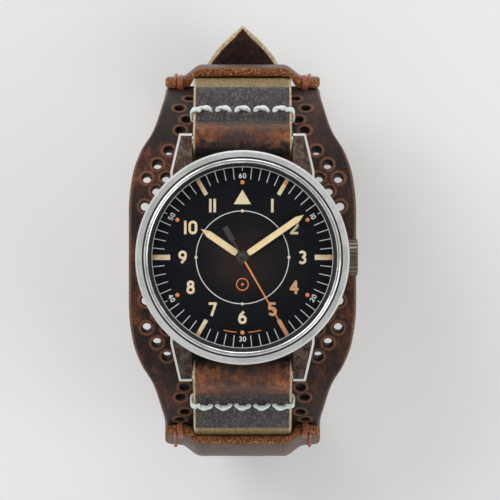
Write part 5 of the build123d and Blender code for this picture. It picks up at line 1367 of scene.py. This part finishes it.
def make_bridge_thread(look):
    """The stitches along the bridges' wings, and the whip stitches over their near edges."""
    strands = []
    pitch = bridge_strip / bridge_stitch_count
    for side, line in pad_lines.items():
        place = line_place(line, sides[side])
        start = length_of(line) - bridge_strip
        for side_x in (-1, 1):
            for stitch in range(bridge_stitch_count):
                middle = start + (stitch + 0.5) * pitch
                strands.append(twisted([place(side_x * bridge_stitch_x, middle + along, wing_face + out)
                                        for along, out in wing_stitch], bridge_stitch_radius))
            for shift, radius in whip_shifts:
                strands.append(twisted([place(side_x * (whip_x + shift + x), start + along, out)
                                        for x, along, out in whip_stitch], radius))
    points, faces = gathered(strands)
    return build("bridge_stitches", points, faces, look, "watch", ("bridge_thread",))


# Keepers


def keeper_path(half, floor, roof):
    """Places round a keeper's inner face, each the middle of its corner's arc, with its direction."""
    path = []
    for index, (x, z) in enumerate(((half, roof), (-half, roof), (-half, floor), (half, floor))):
        path += [(x, z, radians(90 * index + 90 * step / keeper_corner_steps))
                 for step in range(keeper_corner_steps + 1)]
    dense = []
    for (x0, z0, angle), (x1, z1, _) in zip(path, path[1:] + path[:1]):
        count = max(1, round(hypot(x1 - x0, z1 - z0) / cut_step))
        dense += [(blend(x0, x1, step / count), blend(z0, z1, step / count), angle)
                  for step in range(count)]
    return dense


def keeper_section():
    """A keeper's cross-section: a share of its half width, one of its thickness, and the edge mark."""
    edge = ((1, 0.25, 1), (1, 0.5, 1), (1, 0.75, 1), (0.95, 0.93, 0.8), (0.86, 1, 0.3))
    back = ((0.95, 0.07, 0.8), (0.86, 0, 0.3))
    section = [(-y, depth, mark) for y, depth, mark in edge]
    section += [(y, 1, 0) for y in spaced(-0.7, 0.7, 0.28)]
    section += list(reversed(edge)) + list(back)
    section += [(y, 0, 0) for y in spaced(0.6, -0.6, 0.3)]
    return section + [(-y, depth, mark) for y, depth, mark in reversed(back)]


def make_keeper(name, node, body, look):
    """A leather loop round both straps, with burnished edges."""
    low, high = box_mm(node)
    middle, half_width = (low.y + high.y) / 2, (high.y - low.y) / 2
    path = keeper_path(high.x - keeper_leather - keeper_corner, low.z + keeper_leather + keeper_corner,
                       high.z - keeper_leather - keeper_corner)
    section = keeper_section()
    points = []
    for x, z, angle in path:
        for share, depth, edge in section:
            out = keeper_corner + keeper_leather * depth - seat_gap
            out += keeper_swell * noise.noise(Vector((x / 2, share * 2, z / 2 + middle)))
            points.append((x + out * cos(angle), middle + share * half_width, z + out * sin(angle)))
    count, ring = len(section), len(path)
    faces = [[corner % (count * ring) for corner in face] for face in tube_faces(ring + 1, count)]
    marks = {"edge": [float(edge) for share, depth, edge in section] * ring,
             "flesh": [float(depth < 0.05) for share, depth, edge in section] * ring,
             "along": [keeper_along] * len(points), "hole": [0.0] * len(points)}
    return build(name, points, faces, look, body, (node,), marks, sharp=60.0)


# Dial prints and hands


def stroke(path, width):
    """The outlines of a pen stroke along a path: a strip for each run and a round at each corner."""
    shapes = []
    for (x0, y0), (x1, y1) in zip(path, path[1:]):
        run = hypot(x1 - x0, y1 - y0)
        across = (-(y1 - y0) / run * width / 2, (x1 - x0) / run * width / 2)
        shapes.append([(x0 + across[0], y0 + across[1]), (x0 - across[0], y0 - across[1]),
                       (x1 - across[0], y1 - across[1]), (x1 + across[0], y1 + across[1])])
    return shapes + [round_of(x, y, width / 2, pen_corners) for x, y in path[1:-1]]


def arc_path(x, y, radius, first, last, count=12):
    """Places on an arc, from one angle to another."""
    angles = [radians(blend(first, last, step / count)) for step in range(count + 1)]
    return [(x + radius * cos(angle), y + radius * sin(angle)) for angle in angles]


def digit_paths(digit):
    """The strokes of a plain digit that is one unit high, round its middle."""
    w, h = digit_half, digit_rise
    bowl, end = h - w, h + digit_end
    paths = {
        "0": [arc_path(0, bowl, w, 0, 180) + arc_path(0, -bowl, w, 180, 360) + [(w, bowl)]],
        "1": [[(0, end), (0, -end)]],
        "2": [arc_path(0, bowl, w, 165, -28) + [(-w, -h), (w + 0.06, -h)]],
        "3": [arc_path(0, h - 0.2, 0.2, 150, -90), arc_path(0, -h + 0.215, 0.215, 90, -150)],
        "4": [[(0.12, -end), (0.12, h), (-w - 0.02, -0.14), (w + 0.1, -0.14)]],
        "5": [[(w, h), (-w + 0.04, h), (-w + 0.02, 0.03)] + arc_path(0, -h + 0.25, 0.25, 125, -150)],
        "6": [arc_path(0, -bowl, w, 0, 360)[:-1] + [(w, -bowl)], [(-w, -bowl), (-0.16, 0.12), (0.1, h)]],
        "7": [[(-w - 0.05, h), (w, h), (-0.08, -end)]],
        "8": [arc_path(0, h - 0.19, 0.19, 0, 360), arc_path(0, -h + 0.225, 0.225, 0, 360)],
        "9": [arc_path(0, bowl, w, 0, 360), [(w, bowl), (0.16, -0.12), (-0.1, -h)]],
    }
    return paths[digit]


def turned(places, angle):
    """Places turned round the middle by degrees."""
    c, s = cos(radians(angle)), sin(radians(angle))
    return [(x * c - y * s, x * s + y * c) for x, y in places]


def text_strokes(text, height, x, y, turn=0.0):
    """The stroke outlines of a number, centred on a place and turned by degrees."""
    widths = [digit_stroke if digit == "1" else 2 * digit_half + digit_stroke for digit in text]
    pen = -(sum(widths) + digit_gap * (len(text) - 1)) / 2
    shapes = []
    for digit, width in zip(text, widths):
        centre = pen + width / 2
        pen += width + digit_gap
        for path in digit_paths(digit):
            places = turned([((px + centre) * height, py * height) for px, py in path], turn)
            shapes += stroke([(x + px, y + py) for px, py in places], digit_stroke * height)
    return shapes


def dial_spot(radius, angle):
    """A place on the dial at a radius, with its angle clockwise from 12."""
    return radius * sin(radians(angle)), radius * cos(radians(angle))


def radial_bar(angle, length, width):
    """A bar on the dial that points away from its middle and ends by the outer track."""
    return stroke([dial_spot(track_radius - length, angle), dial_spot(track_radius - track_gap, angle)],
                  width)


def dial_dot(place, angle, radius):
    """A round spot on the dial."""
    return [round_of(*dial_spot(place, angle), radius, dot_corners)]


def dial_arc(radius, width, first, last):
    """A band on the dial from one angle to another."""
    count = max(6, round((last - first) / arc_pitch))
    angles = [blend(first, last, step / count) for step in range(count + 1)]
    return [[dial_spot(radius + width / 2, a) for a in angles]
            + [dial_spot(radius - width / 2, a) for a in reversed(angles)]]


def joined(shapes):
    """Flat places and triangles that fill shapes, joined where they overlap."""
    points, links = [], []
    for shape in shapes:
        links += loop_edges(len(points), len(shape))
        points += shape

    def keep(middles):
        wanted = np.zeros(len(middles), bool)
        for shape in shapes:
            corners = np.array(shape)
            near = ((middles >= corners.min(axis=0)) & (middles <= corners.max(axis=0))).all(axis=1)
            wanted[near] |= inside(shape, middles[near])
        return wanted

    return triangulate(points, links, keep)[:2]


def raised(groups, low, high):
    """Thin raised prints from groups of shapes that don't touch each other."""
    strands = []
    for shapes in groups:
        places, flat = joined(shapes)
        points = [(x, y, z) for z in (high, low) for x, y in places.tolist()]
        strands.append((points, thickened(flat, len(places))))
    return gathered(strands)


def dial_ring(radius, width, count=ring_corners, y=0.0):
    """A thin raised ring as points and faces, its middle at a height on the dial."""
    points = []
    for index in range(count):
        for reach, z in ((radius + width / 2, print_low), (radius + width / 2, print_high),
                         (radius - width / 2, print_high), (radius - width / 2, print_low)):
            place = dial_spot(reach, 360 * index / count)
            points.append((place[0], place[1] + y, z))
    faces = [[corner % (4 * count) for corner in face] for face in tube_faces(count + 1, 4)]
    return points, faces


def make_numbers(look):
    """The dial's numerals, triangle, hour bars and inner dots."""
    shapes = [text_strokes(str(hour), numeral_height, *dial_spot(numeral_radius, 30 * hour))
              for hour in range(1, 12)]
    shapes.append([list(triangle)])
    shapes += [radial_bar(30 * hour, bar_length, wide_bar_width if hour in (3, 9) else bar_width)
               for hour in (1, 3, 5, 7, 9, 11)]
    shapes += [dial_dot(inner_circle_radius, angle, inner_dot_radius) for angle in (0, 90, 180, 270)]
    points, faces = raised(shapes, print_low, lume_high)
    build("dial_numbers", points, faces, look, "watch")


def make_marks(look):
    """The dial's ticks, small numbers and circles."""
    shapes = [radial_bar(6 * minute, tick_length if minute % 10 else ten_tick_length, tick_width)
              for minute in range(60) if minute % 5 or minute % 10 == 0]
    for ten, text in enumerate(("60", "10", "20", "30", "40", "50")):
        angle = 60 * ten
        turn = -angle if ten in (0, 1, 5) else 180 - angle
        place = dial_spot(small_numeral_radius, angle)
        shapes.append(text_strokes(text, small_numeral_height, *place, turn))
    points, faces = gathered([raised(shapes, print_low, print_high), dial_ring(track_radius, track_width),
                              dial_ring(inner_circle_radius, inner_circle_width)])
    build("dial_marks", points, faces, look, "watch")


def make_dots(look):
    """The dial's orange dots, arcs and ring."""
    shapes = [dial_dot(dot_place, 60 * step, dot_radius) for step in range(6)]
    shapes.append([round_of(0, emblem_y, emblem_dot, dot_corners)])
    shapes += [dial_arc(dot_place, arc_width, first, first + arc_sweep) for first in arc_starts]
    points, faces = gathered([raised(shapes, print_low, print_high),
                              dial_ring(emblem_radius, emblem_width, emblem_corners, emblem_y)])
    build("dial_dots", points, faces, look, "watch")


def pencil(length, width):
    """The lume's outline in a pencil hand, inside its rim and outside its boss."""
    half = width / 2
    shoulder, neck, start = length - hand_shoulder * width, hand_neck * hand_boss, hand_boss + hand_rim
    near = blend(hand_near * half, half, start / neck) - hand_rim
    half -= hand_rim
    return [(-near, start), (-half, neck), (-half, shoulder), (0, length - hand_tip * hand_rim),
            (half, shoulder), (half, neck), (near, start)]


def make_hand_lume(name, node, angle, width, length, look, body):
    """The luminous paint that fills a hand inside its dark rim."""
    top = box_mm(node)[1].z
    heights = [top + height for height in hand_lume_heights]
    points, faces = raised([[turned(pencil(length, width), -angle)]], *heights)
    return build(name, points, faces, look, body)


def make_seconds_cap(look):
    """The small polished cap over the hands' axis."""
    top = box_mm("seconds_hand")[1].z
    count = cap_corners
    points = [(x, y, top + height) for radius, height in cap_rings
              for x, y in round_of(0.0, 0.0, radius, count)]
    faces = tube_faces(len(cap_rings), count)
    faces += [list(range(count))[::-1], list(range(len(points) - count, len(points)))]
    return build("seconds_cap", points, faces, look, "seconds_arbor")


# The CAD nodes' materials


def dress(look, *names):
    """Gives CAD nodes a material."""
    for name in names:
        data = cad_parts[name].data
        data.materials.clear()
        data.materials.append(look.material)


def dress_frame(black):
    """The materials of every CAD node that shows."""
    dress(case_steel(), "case_body")
    dress(bezel_steel(), "bezel")
    dress(polished_steel(), "caseback", "crown_tube", "spring_bar_12", "spring_bar_6")
    dress(gunmetal(), "crown")
    dress(buckle_steel(), "buckle_frame", "buckle_bar", "buckle_tongue")
    dress(dial_black(), "dial")
    dress(ring_black(), "rehaut")
    dress(glass(), "crystal")
    dress(flecked("seal_rubber"), "crystal_gasket", "caseback_gasket", "crown_gasket")
    dress(flecked("spacer"), "movement_ring")
    dress(nickel(), "mainplate", "barrel_bridge", "train_bridge", "balance_cock", "pallet_bridge")
    dress(flecked("brass_gilt"), "barrel", "centre_wheel", "third_wheel", "fourth_wheel",
          "balance_wheel", "minute_wheel", "hour_wheel")
    dress(flecked("train_steel"), "escape_wheel", "pallet_fork", "ratchet_wheel", "crown_wheel", "click",
          "winding_pinion", "sliding_pinion", "stem", "setting_lever", "yoke", "setting_wheel",
          "cannon_pinion", "movement_screws")
    dress(flecked("blued_spring"), "mainspring", "hairspring")
    dress(flecked("ruby"), "jewels")
    dress(black, "hour_hand", "minute_hand")
    dress(seconds_paint(), "seconds_hand")


# Floor, light and camera


def make_floor():
    """A plain pale floor."""
    look = Look("floor", roughness=1.0, specular=0.0)
    look.set("Base Color", look.mix(look.noise(0.02, 2.0), (236, 236, 235), (241, 241, 240)))
    mesh = bpy.data.meshes.new("floor")
    corners = ((-1, -1), (1, -1), (1, 1), (-1, 1))
    mesh.from_pydata([(x * floor_reach, y * floor_reach, 0) for x, y in corners], [], [(0, 1, 2, 3)])
    mesh.materials.append(look.material)
    floor = bpy.data.objects.new("floor", mesh)
    bpy.context.scene.collection.objects.link(floor)


def make_world():
    """A pale room, brighter round the horizon than overhead."""
    world = bpy.data.worlds.new("studio")
    bpy.context.scene.world = world
    world.use_nodes = True
    tree = world.node_tree
    room = tree.nodes["Background"]
    room.inputs["Color"].default_value = room_colour
    place = tree.nodes.new("ShaderNodeTexCoord")
    axes = tree.nodes.new("ShaderNodeSeparateXYZ")
    level = tree.nodes.new("ShaderNodeMapRange")
    tree.links.new(place.outputs["Generated"], axes.inputs[0])
    tree.links.new(axes.outputs["Z"], level.inputs[0])
    for socket, number in zip(level.inputs[1:5], room_levels):
        socket.default_value = number
    tree.links.new(level.outputs[0], room.inputs["Strength"])


def make_lamp(name, place, size, power, colour):
    """A soft square lamp that points at the watch."""
    lamp = bpy.data.lights.new(name, "AREA")
    lamp.size = size * MM
    lamp.energy = power
    lamp.color = colour
    thing = bpy.data.objects.new(name, lamp)
    thing.location = Vector(place) * MM
    thing.rotation_euler = (Vector(lamp_aim) - Vector(place)).to_track_quat("-Z", "Y").to_euler()
    thing.visible_camera = False
    bpy.context.scene.collection.objects.link(thing)


def make_camera():
    """The camera at the photograph's angle: straight above the dial."""
    data = bpy.data.cameras.new("camera")
    data.lens = camera_lens
    data.sensor_width = camera_sensor
    data.clip_start, data.clip_end = camera_clip
    camera = bpy.data.objects.new("camera", data)
    camera.location = Vector(camera_place) * MM
    bpy.context.scene.collection.objects.link(camera)
    bpy.context.scene.camera = camera


# The whole


def make_dial(black):
    """The prints on the dial and the paint on the hands."""
    make_numbers(lume("dial_lume", (212, 200, 168), (190, 122, 76), 15.6, 17.6, 0.75))
    make_marks(paint("white_print", (208, 211, 211), (128, 128, 130)))
    make_dots(paint("orange_print", (212, 124, 60), (136, 72, 34)))
    hour_paint = lume("hour_paint", (222, 204, 158), (202, 146, 90), 8.4, 10.4)
    minute_paint = lume("minute_paint", (222, 204, 158), (202, 146, 90), 13.4, 15.2)
    make_hand_lume("hour_lume", "hour_hand", *hour_lume, hour_paint, "hour_pipe")
    make_hand_lume("minute_lume", "minute_hand", *minute_lume, minute_paint, "minute_arbor")
    make_seconds_cap(black)


def make_leather():
    """The pad, straps, bridges, keepers and their threads."""
    strap = strap_leather_look()
    bridge = bridge_leather_look()
    pale = thread_look("pale_thread", (226, 233, 228), (182, 190, 184))
    make_pad(pad_leather_look())
    make_short_strap(strap)
    make_long_strap(strap)
    make_bridge("12", bridge)
    make_bridge("6", bridge)
    make_strap_thread("12", short_line, pale)
    make_strap_thread("6", long_line, pale)
    make_bridge_thread(thread_look("orange_thread", (158, 82, 40), (80, 38, 18)))
    make_keeper("keeper_near_buckle", "fixed_keeper", "watch", strap)
    make_keeper("keeper_sliding", "floating_keeper", "loose_keeper", strap)


make_camera()
make_world()
for lamp_name, lamp_facts in lamps.items():
    make_lamp(lamp_name, *lamp_facts)
make_floor()
hand_black = flecked("hand_black")
dress_frame(hand_black)
make_dial(hand_black)
make_leather()
bpy.context.scene.view_settings.view_transform = "Standard"
